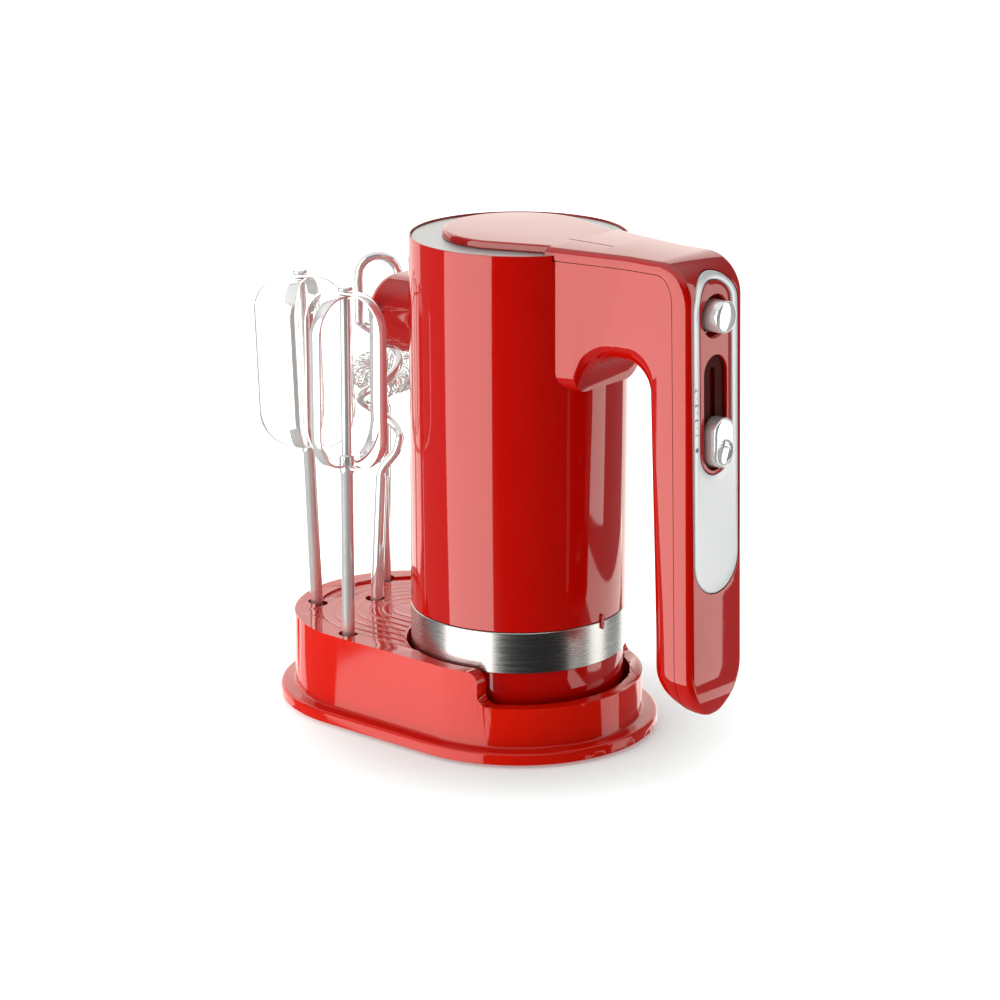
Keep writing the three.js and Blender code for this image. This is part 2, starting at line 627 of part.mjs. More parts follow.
function beater(name, slope, headLow, tip, half, turn) {
  const at = wells[name];
  const low = headLow - REST_Z;
  const top = tip - REST_Z;
  const corner = 15;
  const wide = 5;
  const thin = 1.1;
  const shaft = union([
    turned([
      [0, 0.3], [2, 0.3], [SHANK_R, 1.6], [SHANK_R, low - 3], [3.3, low - 2], [3.3, low + 4.2], [2.2, low + 5.5],
      [2.2, top - 2.7], [1.1, top - 2.6], [1.1, top + 1], [3.4, top + 1.1], [3.4, top + 2], [2.2, top + 2.9],
      [0, top + 2.9],
    ], 12),
    box(-3.8, 3.8, -0.6, 0.6, 16, 20),
  ]);
  add(`${name}_shaft`, place(shaft, at, slope), 'chrome');
  [0, 1].forEach((second) => {
    const under = second * (thin + GAP);
    const w = half - second * 0.4;
    const side = [
      [3.9, low + under],
      ...arc(w - corner, low + under + corner, corner, -90, 0, 6),
      ...arc(w - corner, top - under - corner, corner, 0, 90, 6),
    ];
    const path = [...side, ...side.slice().reverse().map(([x, z]) => [-x, z])].map(([x, z]) => [x, 0, z]);
    const [a, b] = [wide / 2, thin / 2];
    const section = [[-a, -b], [a, -b], [a, b], [-a, b]];
    const strip = swept(path, section, false, [0, 1, 0])
      .subtract(rod(1.4, top - 8, top + 8, 20))
      .subtract(rod(3.6, low - 8, low + 5, 20))
      .rotate([0, 0, turn + 90 * second]);
    add(`${name}_${second ? 'inner' : 'outer'}_loop`, place(strip, at, slope), 'chrome');
  });
}
beater('beater_1', -0.0336, 110.5, 186.5, 20.8, -12);
beater('beater_2', 0.002, 113.5, 189, 19.9, -37);

// Dough hook: thick shaft, a sharp bend out, one and a half turns of wire, then an arch over the top
const hookWire = 2;
const hookR = 8.6;
const helixLow = 112 - REST_Z;
const helixTop = 165 - REST_Z;
const hookLean = 0.048;
const hookCentre = (z) => 3 - hookLean * (z + REST_Z - MID_WELL);
const hookPath = [[0, 0, 92 - REST_Z], [0, 0, 97 - REST_Z], [2.6, -0.4, 101.5 - REST_Z], [6, -1, 106.5 - REST_Z]];
for (let k = 0; k <= 30; k += 1) {
  const angle = Math.PI * 3 * k / 30;
  const z = helixLow + (helixTop - helixLow) * k / 30;
  hookPath.push([hookCentre(z) + hookR * Math.cos(angle), hookR * Math.sin(angle), z]);
}
hookPath.push([hookCentre(178 - REST_Z) - hookR, 0.4, 178 - REST_Z]);
for (let k = 0; k <= 8; k += 1) {
  const angle = Math.PI * k / 8;
  const z = 184 - REST_Z + 9 * Math.sin(angle);
  hookPath.push([hookCentre(z) - hookR * Math.cos(angle), 0.6 + 0.4 * k, z]);
}
hookPath.push([hookCentre(176 - REST_Z) + hookR, 4, 176 - REST_Z]);
add('dough_hook_wire', place(swept(hookPath, round(hookWire, 8)), wells.dough_hook, hookLean), 'chrome');
const hookShaftTop = 95 - REST_Z;
const hookShaft = union([
  turned([[0, 0.3], [2, 0.3], [SHANK_R, 1.6], [SHANK_R, hookShaftTop], [0, hookShaftTop]], 12)
    .subtract(rod(hookWire + GAP, hookShaftTop - 4, hookShaftTop + 15, 20)),
  box(-3.8, 3.8, -0.6, 0.6, 16, 20),
]);
add('dough_hook_shaft', place(hookShaft, wells.dough_hook, hookLean), 'chrome');

// Coil whisk: shaft, a ring on one bent spoke and a coil spring wound round the ring
const ringR = 10;
const coilR = 5.2;
const ringZ = 135 - REST_Z;
const ringPath = Array.from({ length: 20 }, (_, k) => {
  const angle = 2 * Math.PI * k / 20;
  return [ringR * Math.cos(angle), ringR * Math.sin(angle), ringZ];
});
const spoke = swept([[0, 0, ringZ - 14], [2, 0, ringZ - 11], [8, 0, ringZ - 8], [10, 0, ringZ - 4],
  [ringR, 0, ringZ]], round(1.2, 8));
const ring = swept(ringPath, round(1.5, 6), true, [0, 0, 1]);
const frame = union([ring, spoke, rod(1.6, ringZ - 17, ringZ - 13, 16)]);
const coilTurns = 26;
const coilGap = 0.26;
const coilPath = Array.from({ length: coilTurns * 7 + 1 }, (_, k) => {
  const share = k / (coilTurns * 7);
  const around = coilGap + (2 * Math.PI - 2 * coilGap) * share;
  const wind = 2 * Math.PI * coilTurns * share;
  const r = ringR + coilR * Math.cos(wind);
  return [r * Math.cos(around), r * Math.sin(around), ringZ + coilR * Math.sin(wind)];
});
const coil = swept(coilPath, round(0.55, 4));
const tilt = (manifold) => manifold.translate([0, 0, -ringZ]).rotate([14, 0, 0]).translate([0, 0, ringZ]);
add('whisk_coil', place(tilt(coil), wells.whisk, 0.01), 'chrome');
const whiskShaft = union([
  turned([[0, 0.3], [2, 0.3], [SHANK_R, 1.6], [SHANK_R, ringZ - 15], [0, ringZ - 15]], 12),
  box(-3.8, 3.8, -0.6, 0.6, 16, 20),
  tilt(frame),
]);
add('whisk_shaft', place(whiskShaft, wells.whisk, 0.01), 'chrome');

export default group;
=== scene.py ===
"""Looks of the hand mixer in its storage stand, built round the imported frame.

Shapes are worked out in millimetres in the frame's axes: +Z up along the body, +X towards the handle.
"""
import json
import math

import bmesh
import bpy
import numpy as np
from mathutils import Matrix, Vector


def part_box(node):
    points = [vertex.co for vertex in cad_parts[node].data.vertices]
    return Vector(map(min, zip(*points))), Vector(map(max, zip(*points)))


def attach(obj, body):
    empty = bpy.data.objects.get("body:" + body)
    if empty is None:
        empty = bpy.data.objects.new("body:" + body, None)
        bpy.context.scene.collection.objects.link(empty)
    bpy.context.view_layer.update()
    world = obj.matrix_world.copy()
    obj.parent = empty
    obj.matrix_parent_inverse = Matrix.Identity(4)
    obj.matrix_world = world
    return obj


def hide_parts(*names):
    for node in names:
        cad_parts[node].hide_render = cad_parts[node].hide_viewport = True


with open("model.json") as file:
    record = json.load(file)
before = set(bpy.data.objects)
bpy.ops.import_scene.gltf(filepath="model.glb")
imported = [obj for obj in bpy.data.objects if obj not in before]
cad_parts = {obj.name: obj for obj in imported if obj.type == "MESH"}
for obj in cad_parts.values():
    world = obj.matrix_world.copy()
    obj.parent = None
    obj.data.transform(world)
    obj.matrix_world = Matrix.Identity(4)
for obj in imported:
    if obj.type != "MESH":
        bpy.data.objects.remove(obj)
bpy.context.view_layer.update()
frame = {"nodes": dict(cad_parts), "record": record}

MM = 0.001


def cad(node):
    """Lowest and highest corners of a CAD node, in millimetres."""
    low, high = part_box(node)
    return low / MM, high / MM


# ---------------------------------------------------------------- driving sizes
BODY_R = cad("steel_band")[1].x
BAND_LOW = cad("steel_band")[0].z
BAND_TOP = cad("steel_band")[1].z
RING_Z = cad("front_ring")[1].z
RING_LOW = cad("front_ring")[0].z
CAP_Z = cad("top_cover")[1].z
RIM_Z = RING_Z + 0.8
TAIL_LOW = cad("tail_cap")[0].z
DECK_Z = cad("stand_shell")[1].z
FLANGE_R = cad("stand_shell")[1].y
FLANGE_LOW = cad("stand_shell")[0].z
STAND_END = cad("stand_shell")[0].x + FLANGE_R
STAND_R = FLANGE_R - 6.6
BUTTON_FACE = cad("eject_button")[1].x
BUTTON_Z = (cad("eject_button")[0].z + cad("eject_button")[1].z) / 2
SOCKET_Z = (cad("drive_spindle_1")[0].z + cad("drive_spindle_1")[1].z) / 2
SOCKET_Y = (cad("drive_spindle_2")[0].y + cad("drive_spindle_2")[1].y) / 2
SOCKET_X = cad("drive_spindle_1")[0].x
HOUSING_X = -cad("socket_housing")[0].x

BODY_IN = BODY_R - 2.6
CAP_R = 32.0
TAPER_COS = 0.218
TAPER_SIN = math.sqrt(1 - TAPER_COS ** 2)
HANDLE_HALF = 18.5
HANDLE_IN = 79.8
HANDLE_OUT = 101.5
HANDLE_LOW = 27.0
HANDLE_STRAIGHT = 48.0
LEAN = 0.027
LEAN_TOP = 200.0
ARM_UNDER = 173.0
OUT_ARC = 16.0
IN_ARC = 14.0
ARM_ROOT = 34.0
WALL = 2.4
PART_TOP = 5.0
PART_SIDE = 8.0
PART_GAP = 0.3
FIT = 0.3
CUP_Z = 24.0
CUP_R = BODY_R + 2
CUP_FLOOR = 7.0
STEP_X = 14.0
STEP_R = 5.0
VIEW_TURN = math.radians(40)
RIGHT = (math.cos(VIEW_TURN), math.sin(VIEW_TURN))
REST_Z = 7.0
MID_WELL = 23.0


# ---------------------------------------------------------------- mesh tools
def arc(cx, cy, r, start, end, steps):
    """Points along an arc about (cx, cy), from one angle to another in degrees."""
    angles = np.radians(np.linspace(start, end, steps + 1))
    return [(cx + r * math.cos(a), cy + r * math.sin(a)) for a in angles]


def new_object(name, verts, faces):
    """An object from points and faces, with its normals turned outwards."""
    mesh = bpy.data.meshes.new(name)
    mesh.from_pydata([tuple(v) for v in verts], [], faces)
    mesh.validate()
    shell = bmesh.new()
    shell.from_mesh(mesh)
    bmesh.ops.remove_doubles(shell, verts=shell.verts, dist=1e-4)
    bmesh.ops.recalc_face_normals(shell, faces=shell.faces)
    shell.to_mesh(mesh)
    shell.free()
    obj = bpy.data.objects.new(name, mesh)
    bpy.context.scene.collection.objects.link(obj)
    return obj


def skin(name, rings, wrap=False):
    """One closed surface through rings of equal length, with its two ends filled unless it wraps."""
    count = len(rings[0])
    verts = [tuple(p) for ring in rings for p in ring]
    faces = []
    for i in range(len(rings) if wrap else len(rings) - 1):
        a = i * count
        b = (i + 1) % len(rings) * count
        for k in range(count):
            n = (k + 1) % count
            faces.append((a + k, a + n, b + n, b + k))
    if not wrap:
        faces.append(tuple(reversed(range(count))))
        last = (len(rings) - 1) * count
        faces.append(tuple(range(last, last + count)))
    return new_object(name, verts, faces)


def turned(name, profile, sides=192, centre=(0, 0), wrap=False):
    """Turns a profile of (radius, z) about an upright axis."""
    angles = [2 * math.pi * k / sides for k in range(sides)]
    rings = []
    for r, z in profile:
        r = max(r, 0.01)
        rings.append([(centre[0] + r * math.cos(a), centre[1] + r * math.sin(a), z) for a in angles])
    return skin(name, rings, wrap)


def post(name, r, low, high, sides, centre=(0, 0)):
    """An upright round bar."""
    return turned(name, [(0, low), (r, low), (r, high), (0, high)], sides, centre)


def turned_x(name, profile, y, z, sides=64, wrap=False):
    """Turns a profile of (radius, x) about an axis along X."""
    angles = [2 * math.pi * k / sides for k in range(sides)]
    rings = []
    for r, x in profile:
        r = max(r, 0.01)
        rings.append([(x, y + r * math.cos(a), z + r * math.sin(a)) for a in angles])
    return skin(name, rings, wrap)


def prism(name, outline, low, high, plane):
    """Raises an outline along the axis its plane leaves out: "xy", "yz" or "xz"."""
    lifted = {
        "xy": lambda a, b, h: (a, b, h),
        "yz": lambda a, b, h: (h, a, b),
        "xz": lambda a, b, h: (a, h, b),
    }[plane]
    return skin(name, [[lifted(a, b, h) for a, b in outline] for h in (low, high)])


def settle(obj):
    """Applies an object's modifiers to its mesh."""
    bpy.context.view_layer.update()
    shown = obj.evaluated_get(bpy.context.evaluated_depsgraph_get())
    mesh = bpy.data.meshes.new_from_object(shown)
    old = obj.data
    obj.modifiers.clear()
    obj.data = mesh
    bpy.data.meshes.remove(old)
    return obj


def combine(obj, tool, operation):
    """Joins, cuts or intersects a shape with a tool, and drops the tool."""
    cut = obj.modifiers.new("cut", "BOOLEAN")
    cut.operation = operation
    cut.solver = "MANIFOLD"
    cut.object = tool
    settle(obj)
    bpy.data.objects.remove(tool)
    return obj


def minus(obj, *tools):
    """A shape with its tools cut away."""
    for tool in tools:
        combine(obj, tool, "DIFFERENCE")
    return obj


def plus(obj, *tools):
    """A shape with its tools joined on."""
    for tool in tools:
        combine(obj, tool, "UNION")
    return obj


def eased(obj, width, segments=2, angle=35):
    """Rounds the sharp edges of a finished shape."""
    bevel = obj.modifiers.new("eased", "BEVEL")
    bevel.width = width
    bevel.segments = segments
    bevel.limit_method = "ANGLE"
    bevel.angle_limit = math.radians(angle)
    return settle(obj)


def smooth(obj, angle=30):
    """Smooth shading, with edges over the angle kept sharp."""
    obj.data.polygons.foreach_set("use_smooth", [True] * len(obj.data.polygons))
    obj.data.set_sharp_from_angle(angle=math.radians(angle))
    return obj


def swept(name, path, section, first, wrap=False):
    """Sweeps a section of (across, out) offsets along a path, turning as little as it can."""
    points = [Vector(p) for p in path]
    count = len(points)
    side = Vector(first)
    rings = []
    for i, point in enumerate(points):
        after = points[(i + 1) % count] if wrap else points[min(i + 1, count - 1)]
        before = points[i - 1] if wrap else points[max(i - 1, 0)]
        along = (after - before).normalized()
        side = (side - along * side.dot(along)).normalized()
        out = along.cross(side)
        rings.append([tuple(point + side * a + out * b) for a, b in section])
    return skin(name, rings, wrap)


def circle(r, sides):
    """A round section."""
    return arc(0, 0, r, 0, 360, sides)[:-1]


def strip_section(wide, thin, edge):
    """A flat bar's section with rounded edges."""
    a, b = wide / 2 - edge, thin / 2 - edge
    return (arc(a, b, edge, 0, 90, 3) + arc(-a, b, edge, 90, 180, 3)
            + arc(-a, -b, edge, 180, 270, 3) + arc(a, -b, edge, 270, 360, 3))


def smoothed(points, steps):
    """A Catmull-Rom curve through given points."""
    pts = [np.array(p, float) for p in points]
    pts = [2 * pts[0] - pts[1], *pts, 2 * pts[-1] - pts[-2]]
    line = []
    for i in range(1, len(pts) - 2):
        p0, p1, p2, p3 = pts[i - 1:i + 3]
        for k in range(steps):
            t = k / steps
            line.append(0.5 * (2 * p1 + (p2 - p0) * t + (2 * p0 - 5 * p1 + 4 * p2 - p3) * t * t
                               + (3 * p1 - p0 - 3 * p2 + p3) * t ** 3))
    line.append(pts[-2])
    return [tuple(p) for p in line]


# ---------------------------------------------------------------- materials
NOISE_SPAN = (0.3, 0.7)


def remap(nodes, source, result, interpolation="LINEAR"):
    """A Map Range node from one pair of values to another."""
    node = nodes.new("ShaderNodeMapRange")
    node.interpolation_type = interpolation
    node.inputs["From Min"].default_value = source[0]
    node.inputs["From Max"].default_value = source[1]
    node.inputs["To Min"].default_value = result[0]
    node.inputs["To Max"].default_value = result[1]
    return node


def material(name, colour, roughness, metallic=0.0, *, grain, stretch=(1, 1, 1), rough_spread=0.04,
             tint=0.04, bump, bump_depth=0.00002, ior=1.5):
    """A procedural finish: a fine grain varies its roughness, its colour a little and its surface."""
    mat = bpy.data.materials.new(name)
    mat.use_nodes = True
    nodes = mat.node_tree.nodes
    links = mat.node_tree.links
    shader = nodes["Principled BSDF"]
    shader.inputs["Metallic"].default_value = metallic
    shader.inputs["IOR"].default_value = ior
    where = nodes.new("ShaderNodeTexCoord")
    scale = nodes.new("ShaderNodeMapping")
    scale.inputs["Scale"].default_value = stretch
    links.new(where.outputs["Object"], scale.inputs["Vector"])
    noise = nodes.new("ShaderNodeTexNoise")
    noise.inputs["Scale"].default_value = grain
    noise.inputs["Detail"].default_value = 3
    links.new(scale.outputs["Vector"], noise.inputs["Vector"])
    rough = remap(nodes, NOISE_SPAN, (max(roughness - rough_spread, 0), roughness + rough_spread))
    links.new(noise.outputs["Fac"], rough.inputs["Value"])
    links.new(rough.outputs["Result"], shader.inputs["Roughness"])
    mix = nodes.new("ShaderNodeMix")
    mix.data_type = "RGBA"
    mix.inputs["A"].default_value = (*[c * (1 - tint) for c in colour], 1)
    mix.inputs["B"].default_value = (*[min(c * (1 + tint), 1) for c in colour], 1)
    links.new(noise.outputs["Fac"], mix.inputs["Factor"])
    links.new(mix.outputs["Result"], shader.inputs["Base Color"])
    relief = nodes.new("ShaderNodeBump")
    relief.inputs["Strength"].default_value = bump
    relief.inputs["Distance"].default_value = bump_depth
    links.new(noise.outputs["Fac"], relief.inputs["Height"])
    links.new(relief.outputs["Normal"], shader.inputs["Normal"])
    return mat


body_red = material("body_red", (0.355, 0.0020, 0.0004), 0.045, grain=90, tint=0.03, rough_spread=0.012,
                    bump=0.03, ior=1.65)
stand_red = material("stand_red", (0.50, 0.0065, 0.0012), 0.06, grain=110, tint=0.03, rough_spread=0.015,
                     bump=0.04, ior=1.45)
silver = material("silver_trim", (0.64, 0.66, 0.68), 0.34, 0.5, grain=5200, tint=0.02, rough_spread=0.03,
                  bump=0.1)
brushed = material("band_steel", (0.60, 0.615, 0.615), 0.26, 1.0, grain=1.0, stretch=(40, 40, 4200),
                   rough_spread=0.05, tint=0.07, bump=0.08, bump_depth=0.00004)
chrome = material("chrome_parts", (0.86, 0.87, 0.87), 0.07, 0.72, grain=160, tint=0.02, rough_spread=0.02,
                  bump=0.02)
dark = material("dark_plastic", (0.018, 0.004, 0.004), 0.42, grain=2600, rough_spread=0.08, tint=0.1,
                bump=0.2, bump_depth=0.00005)
rubber = material("foot_rubber", (0.02, 0.02, 0.02), 0.8, grain=1900, tint=0.15, bump=0.4,
                  bump_depth=0.0001)
screw = material("screw_steel", (0.55, 0.55, 0.54), 0.34, 1.0, grain=1800, bump=0.2)
iron = material("motor_iron", (0.25, 0.26, 0.27), 0.45, 0.9, grain=1.0, stretch=(120, 120, 9000), tint=0.2,
                bump=0.5, bump_depth=0.0001)
copper = material("copper", (0.62, 0.26, 0.10), 0.3, 1.0, grain=1.0, stretch=(200, 200, 7000), tint=0.2,
                  bump=0.5, bump_depth=0.0002)
acetal = material("light_plastic", (0.80, 0.77, 0.69), 0.42, grain=900, tint=0.03, bump=0.1)
ground = material("shaft_steel", (0.58, 0.585, 0.59), 0.22, 1.0, grain=2400, bump=0.1)
brass = material("brass_parts", (0.68, 0.47, 0.16), 0.26, 1.0, grain=1500, bump=0.1)
carbon = material("carbon", (0.03, 0.03, 0.032), 0.7, grain=3000, tint=0.2, bump=0.3)
board = material("board_green", (0.02, 0.12, 0.045), 0.4, grain=1300, tint=0.2, bump=0.2)
# The trim's silver made darker for the front ring: painted shade on its upward face, which the light from
# above brightens.
shaded_ring_silver = material("shaded_ring_silver", (0.40, 0.42, 0.43), 0.36, 0.5, grain=5200, tint=0.02,
                       rough_spread=0.03, bump=0.1)
slot_shade = material("slot_shade", (0.05, 0.003, 0.001), 0.6, grain=2600, tint=0.1, bump=0.1, ior=1.2)
ink = material("mark_ink", (0.10, 0.12, 0.19), 0.45, grain=3000, tint=0.1, bump=0.1)

FINISH = {
    "body_red": body_red, "stand_red": stand_red, "silver_trim": silver, "band_steel": brushed,
    "chrome_parts": chrome, "dark_plastic": dark, "foot_rubber": rubber, "screw_steel": screw,
    "motor_iron": iron, "copper": copper, "light_plastic": acetal, "shaft_steel": ground,
    "brass_parts": brass, "carbon": carbon, "board_green": board,
}
for part in frame["record"]["subparts"]:
    node = frame["nodes"][part["node"]]
    node.data.materials.clear()
    node.data.materials.append(FINISH[part["material_slot"]])
    smooth(node, 32)


def place(obj, body, slot, *nodes, finish=None):
    """Gives a finished piece its material and its body, and hides the CAD nodes it stands for."""
    obj.data.transform(Matrix.Scale(MM, 4))
    obj.data.materials.clear()
    obj.data.materials.append(finish or FINISH[slot])
    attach(obj, body)
    if nodes:
        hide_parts(*nodes)
    return obj


# ---------------------------------------------------------------- arm and handle
def lean(z):
    """How far the handle has moved outwards at a height."""
    return LEAN * max(0.0, LEAN_TOP - z)


def arm_half(x):
    """Half the arm's width: the cap's straight taper, eased into the handle's even width."""
    taper = (CAP_R - x * TAPER_COS) / TAPER_SIN
    return max(taper, HANDLE_HALF) + 0.25 * math.exp(-abs(taper - HANDLE_HALF))


def arm_stations():
    """Palm side point, outer side point and width share at each station from the body to the handle's end."""
    out_x, out_z = HANDLE_OUT - OUT_ARC, CAP_Z - OUT_ARC
    in_x, in_z = HANDLE_IN - IN_ARC, ARM_UNDER - IN_ARC
    flare_end, flare_r = 62.0, 16.0
    stations = []
    for share in np.linspace(0, 1, 29)[:-1]:
        xi = ARM_ROOT + (in_x - ARM_ROOT) * share
        xo = ARM_ROOT + (out_x - ARM_ROOT) * share
        reach = min(max(flare_end - xi, 0), flare_r)
        stations.append(((xi, ARM_UNDER - flare_r + math.sqrt(flare_r ** 2 - reach ** 2)), (xo, CAP_Z), 1.0))
    for angle in np.linspace(0, math.pi / 2, 25):
        s, c = math.sin(angle), math.cos(angle)
        palm = (in_x + IN_ARC * s, in_z + IN_ARC * c)
        stations.append((palm, (out_x + OUT_ARC * s, out_z + OUT_ARC * c), 1.0))
    for share in np.linspace(0, 1, 17)[1:]:
        stations.append(((HANDLE_IN, in_z + (HANDLE_STRAIGHT - in_z) * share),
                         (HANDLE_OUT, out_z + (HANDLE_STRAIGHT - out_z) * share), 1.0))
    end_turn = math.pi / 2 * 0.965
    end_thick, end_tuck = 0.12, 3
    for angle in np.linspace(0, end_turn, 25)[1:]:
        keep = math.cos(angle)
        z = HANDLE_STRAIGHT - (HANDLE_STRAIGHT - HANDLE_LOW) * math.sin(angle)
        thick = (HANDLE_OUT - HANDLE_IN) * (end_thick + (1 - end_thick) * keep)
        stations.append(((HANDLE_OUT - thick, z), (HANDLE_OUT - end_tuck * (1 - keep), z), keep))
    return stations


def arm_solid(name, inset=0.0):
    """The arm and handle as one solid, or its hollow when it is inset."""
    edge_out, edge_in = 3.6, 9
    rings = []
    for inner, outer, end in arm_stations():
        base = np.array([inner[0] + lean(inner[1]), inner[1]])
        top = np.array([outer[0] + lean(outer[1]), outer[1]])
        length = np.linalg.norm(top - base)
        way = (top - base) / length
        half = max(arm_half((inner[0] + outer[0]) / 2) * end - inset, 0.4)
        depth = max(length - 2 * inset, 0.6)
        start = (length - depth) / 2
        r_out = max(min(edge_out - inset, half * 0.9, depth * 0.3), 0.3)
        r_in = max(min(edge_in - inset, half * 0.9, depth * 0.6), 0.3)
        outline = (arc(half - r_out, depth - r_out, r_out, 0, 90, 6)
                   + arc(-(half - r_out), depth - r_out, r_out, 90, 180, 6)
                   + arc(-(half - r_in), r_in, r_in, 180, 270, 10)
                   + arc(half - r_in, r_in, r_in, 270, 360, 10))
        ring = []
        for y, t in outline:
            x, z = base + way * (t + start)
            ring.append((x, y, z))
        rings.append(ring)
    return skin(name, rings)


def outer_line(top, side):
    """The arm's outer skin line from the side, moved inwards, as (x, z)."""
    start, low = 20.0, 10.0
    cx, cz = HANDLE_OUT - OUT_ARC, CAP_Z - OUT_ARC
    bend = [(cx + (OUT_ARC - side) * math.sin(a), cz + (OUT_ARC - top) * math.cos(a))
            for a in np.linspace(0, math.pi / 2, 33)]
    return [(start, CAP_Z - top), *bend, (HANDLE_OUT - side + lean(low), low)]


def region(name, top, side):
    """Everything from well outside the arm's outer skin to a depth under it."""
    beyond, half = -9, 60
    outline = outer_line(beyond, beyond) + outer_line(top, side)[::-1]
    return prism(name, outline, -half, half, "xz")


def on_face(y, z, depth=0.0):
    """A point at a depth under the handle's outer skin."""
    cx, cz = HANDLE_OUT - OUT_ARC, CAP_Z - OUT_ARC
    if z <= cz:
        n = np.array([1.0, LEAN]) / math.hypot(1, LEAN)
        p = np.array([HANDLE_OUT + lean(z), z])
    else:
        angle = math.asin(min((z - cz) / OUT_ARC, 1))
        n = np.array([math.cos(angle), math.sin(angle)])
        p = np.array([cx, cz]) + OUT_ARC * n
    p = p - n * depth
    return (p[0], y, p[1])


def face_outline(half, low, high, grow=0.0, turn_steps=24, side_steps=36):
    """A stadium on the outer face, as (y, z), grown or shrunk evenly."""
    r = half + grow
    top, bottom = high - half, low + half
    points = arc(0, top, r, 0, 180, turn_steps)
    points += [(-r, z) for z in np.linspace(top, bottom, side_steps + 1)[1:-1]]
    points += arc(0, bottom, r, 180, 360, turn_steps)
    points += [(r, z) for z in np.linspace(bottom, top, side_steps + 1)[1:-1]]
    return points


def face_solid(name, half, low, high, profile):
    """A closed raised or sunk stadium: profile gives (inset, depth) from its back edge to its middle."""
    rings = []
    for inset, depth in profile:
        grow = -min(inset, half - 0.02)
        rings.append([on_face(y, z, depth) for y, z in face_outline(half, low, high, grow)])
    return skin(name, rings)


def plateau(half, back, front, edge, steps=4, fill=6):
    """Profile from the back, up the side, over a rounded edge and in to the middle line."""
    profile = [(0.0, back), (0.0, front + edge)]
    profile += [(edge - edge * math.cos(a), front + edge - edge * math.sin(a))
                for a in np.linspace(0, math.pi / 2, steps + 1)[1:]]
    profile += [(s, front) for s in np.linspace(edge, half - 0.02, fill + 1)[1:]]
    return profile


def cap_plan(inset, far_x=72.0, steps=96):
    """The cap from above: a circle over the body, then straight tapering sides."""
    tangent = math.degrees(math.acos(TAPER_COS))
    half = arm_half(far_x) - inset
    return [(far_x, -half), (far_x, half)] + arc(0, 0, CAP_R - inset, tangent, 360 - tangent, steps)


def clipped(plan, far):
    """A plan cut off at a distance along X."""
    return [(min(x, far), y) for x, y in plan]


# Red body: the barrel, the arm's lower part and the handle's palm side
rim_in, rim_seat = 45.1, 211.2
barrel = turned("body_shell_skin", [
    (BODY_IN - 1, BAND_TOP + 0.5), (BODY_R - 0.3, BAND_TOP + 0.35), (BODY_R - 0.08, BAND_TOP + 0.5),
    (BODY_R, BAND_TOP + 0.8), (BODY_R, RIM_Z - 0.5), (BODY_R - 0.05, RIM_Z - 0.25),
    (BODY_R - 0.2, RIM_Z - 0.06), (BODY_R - 0.42, RIM_Z), (rim_in + 0.2, RIM_Z), (rim_in, RIM_Z - 0.15),
    (rim_in, rim_seat), (BODY_IN, rim_seat), (BODY_IN, BAND_TOP + 5)], sides=240, wrap=True)
palm_half = minus(arm_solid("palm_half"),
                  region("outside", PART_TOP + PART_GAP / 2, PART_SIDE + PART_GAP / 2),
                  post("inside", BODY_IN + 0.2, 20, 260, 120))
cap_notch = prism("cap_notch", cap_plan(-FIT), CAP_Z - PART_TOP - 0.15, CAP_Z + 5, "xy")
near_arm = prism("near_arm", [(33, -40), (90, -40), (90, 40), (33, 40)], 200, 230, "xy")
cap_notch = combine(cap_notch, near_arm, "INTERSECT")
ring_notch = cap_notch.copy()
ring_notch.data = cap_notch.data.copy()
bpy.context.scene.collection.objects.link(ring_notch)
body = plus(barrel, palm_half)
body = minus(body, arm_solid("arm_hollow", WALL), cap_notch)
handle_screws = (64, 112)
for z in handle_screws:
    edge = HANDLE_IN + lean(z)
    body = minus(body, turned_x("screw_well", [(3.2, 70), (3.2, edge + 4.5)], 0, z, 32))
for y in (-SOCKET_Y, SOCKET_Y):
    body = minus(body, turned_x("spindle_hole", [(7, -60), (7, -30)], y, SOCKET_Z, 48))
place(smooth(body), "mixer", "body_red", "body_shell")

pointer_outline = face_outline(0.8, BAND_TOP - 3.2, BAND_TOP + 3.3, 0, 10, 2)
pointer = prism("band_pointer", pointer_outline, 45.9, 46.9, "yz")
pointer.data.transform(Matrix.Translation((0, -0.7, 0)))
place(smooth(eased(pointer, 0.2)), "mixer", "body_red")

# Brushed band, tail and pale ring
band_edge = 0.25
band_piece = turned("band_skin", [
    (45, BAND_LOW), (BODY_R - band_edge, BAND_LOW), (BODY_R, BAND_LOW + band_edge),
    (BODY_R, BAND_TOP - band_edge), (BODY_R - band_edge, BAND_TOP), (45, BAND_TOP)], 240, wrap=True)
place(smooth(band_piece), "mixer", "band_steel", "steel_band")
tail = turned("tail_skin", [
    (0, TAIL_LOW), (38, TAIL_LOW), *arc(38.6, TAIL_LOW + 5, 5, -90, -8, 8), (44.4, 18),
    (45, 24), (45, BAND_LOW - 0.3), (42.6, BAND_LOW - 0.3), (42, 16), (38, 12), (0, 12)], 192)
vents = 8
for k in range(vents):
    vent = prism("vent", [(16, -1.6), (35, -1.6), (35, 1.6), (16, 1.6)], 5, 14, "xy")
    vent.data.transform(Matrix.Rotation(2 * math.pi / vents * k, 4, "Z"))
    tail = minus(tail, vent)
place(smooth(tail), "mixer", "body_red", "tail_cap")
ring_in, ring_out, ring_edge = 29.5, 44.8, 0.3
ring = turned("ring_skin", [
    (ring_in, RING_LOW), (ring_out, RING_LOW), (ring_out, RING_Z - ring_edge), (ring_out - ring_edge, RING_Z),
    (ring_in + ring_edge, RING_Z), (ring_in, RING_Z - ring_edge)], 192, wrap=True)
# The ring takes the darker copy of the trim's silver, as painted shade.
place(smooth(minus(ring, ring_notch)), "mixer", "silver_trim", "front_ring", finish=shaded_ring_silver)

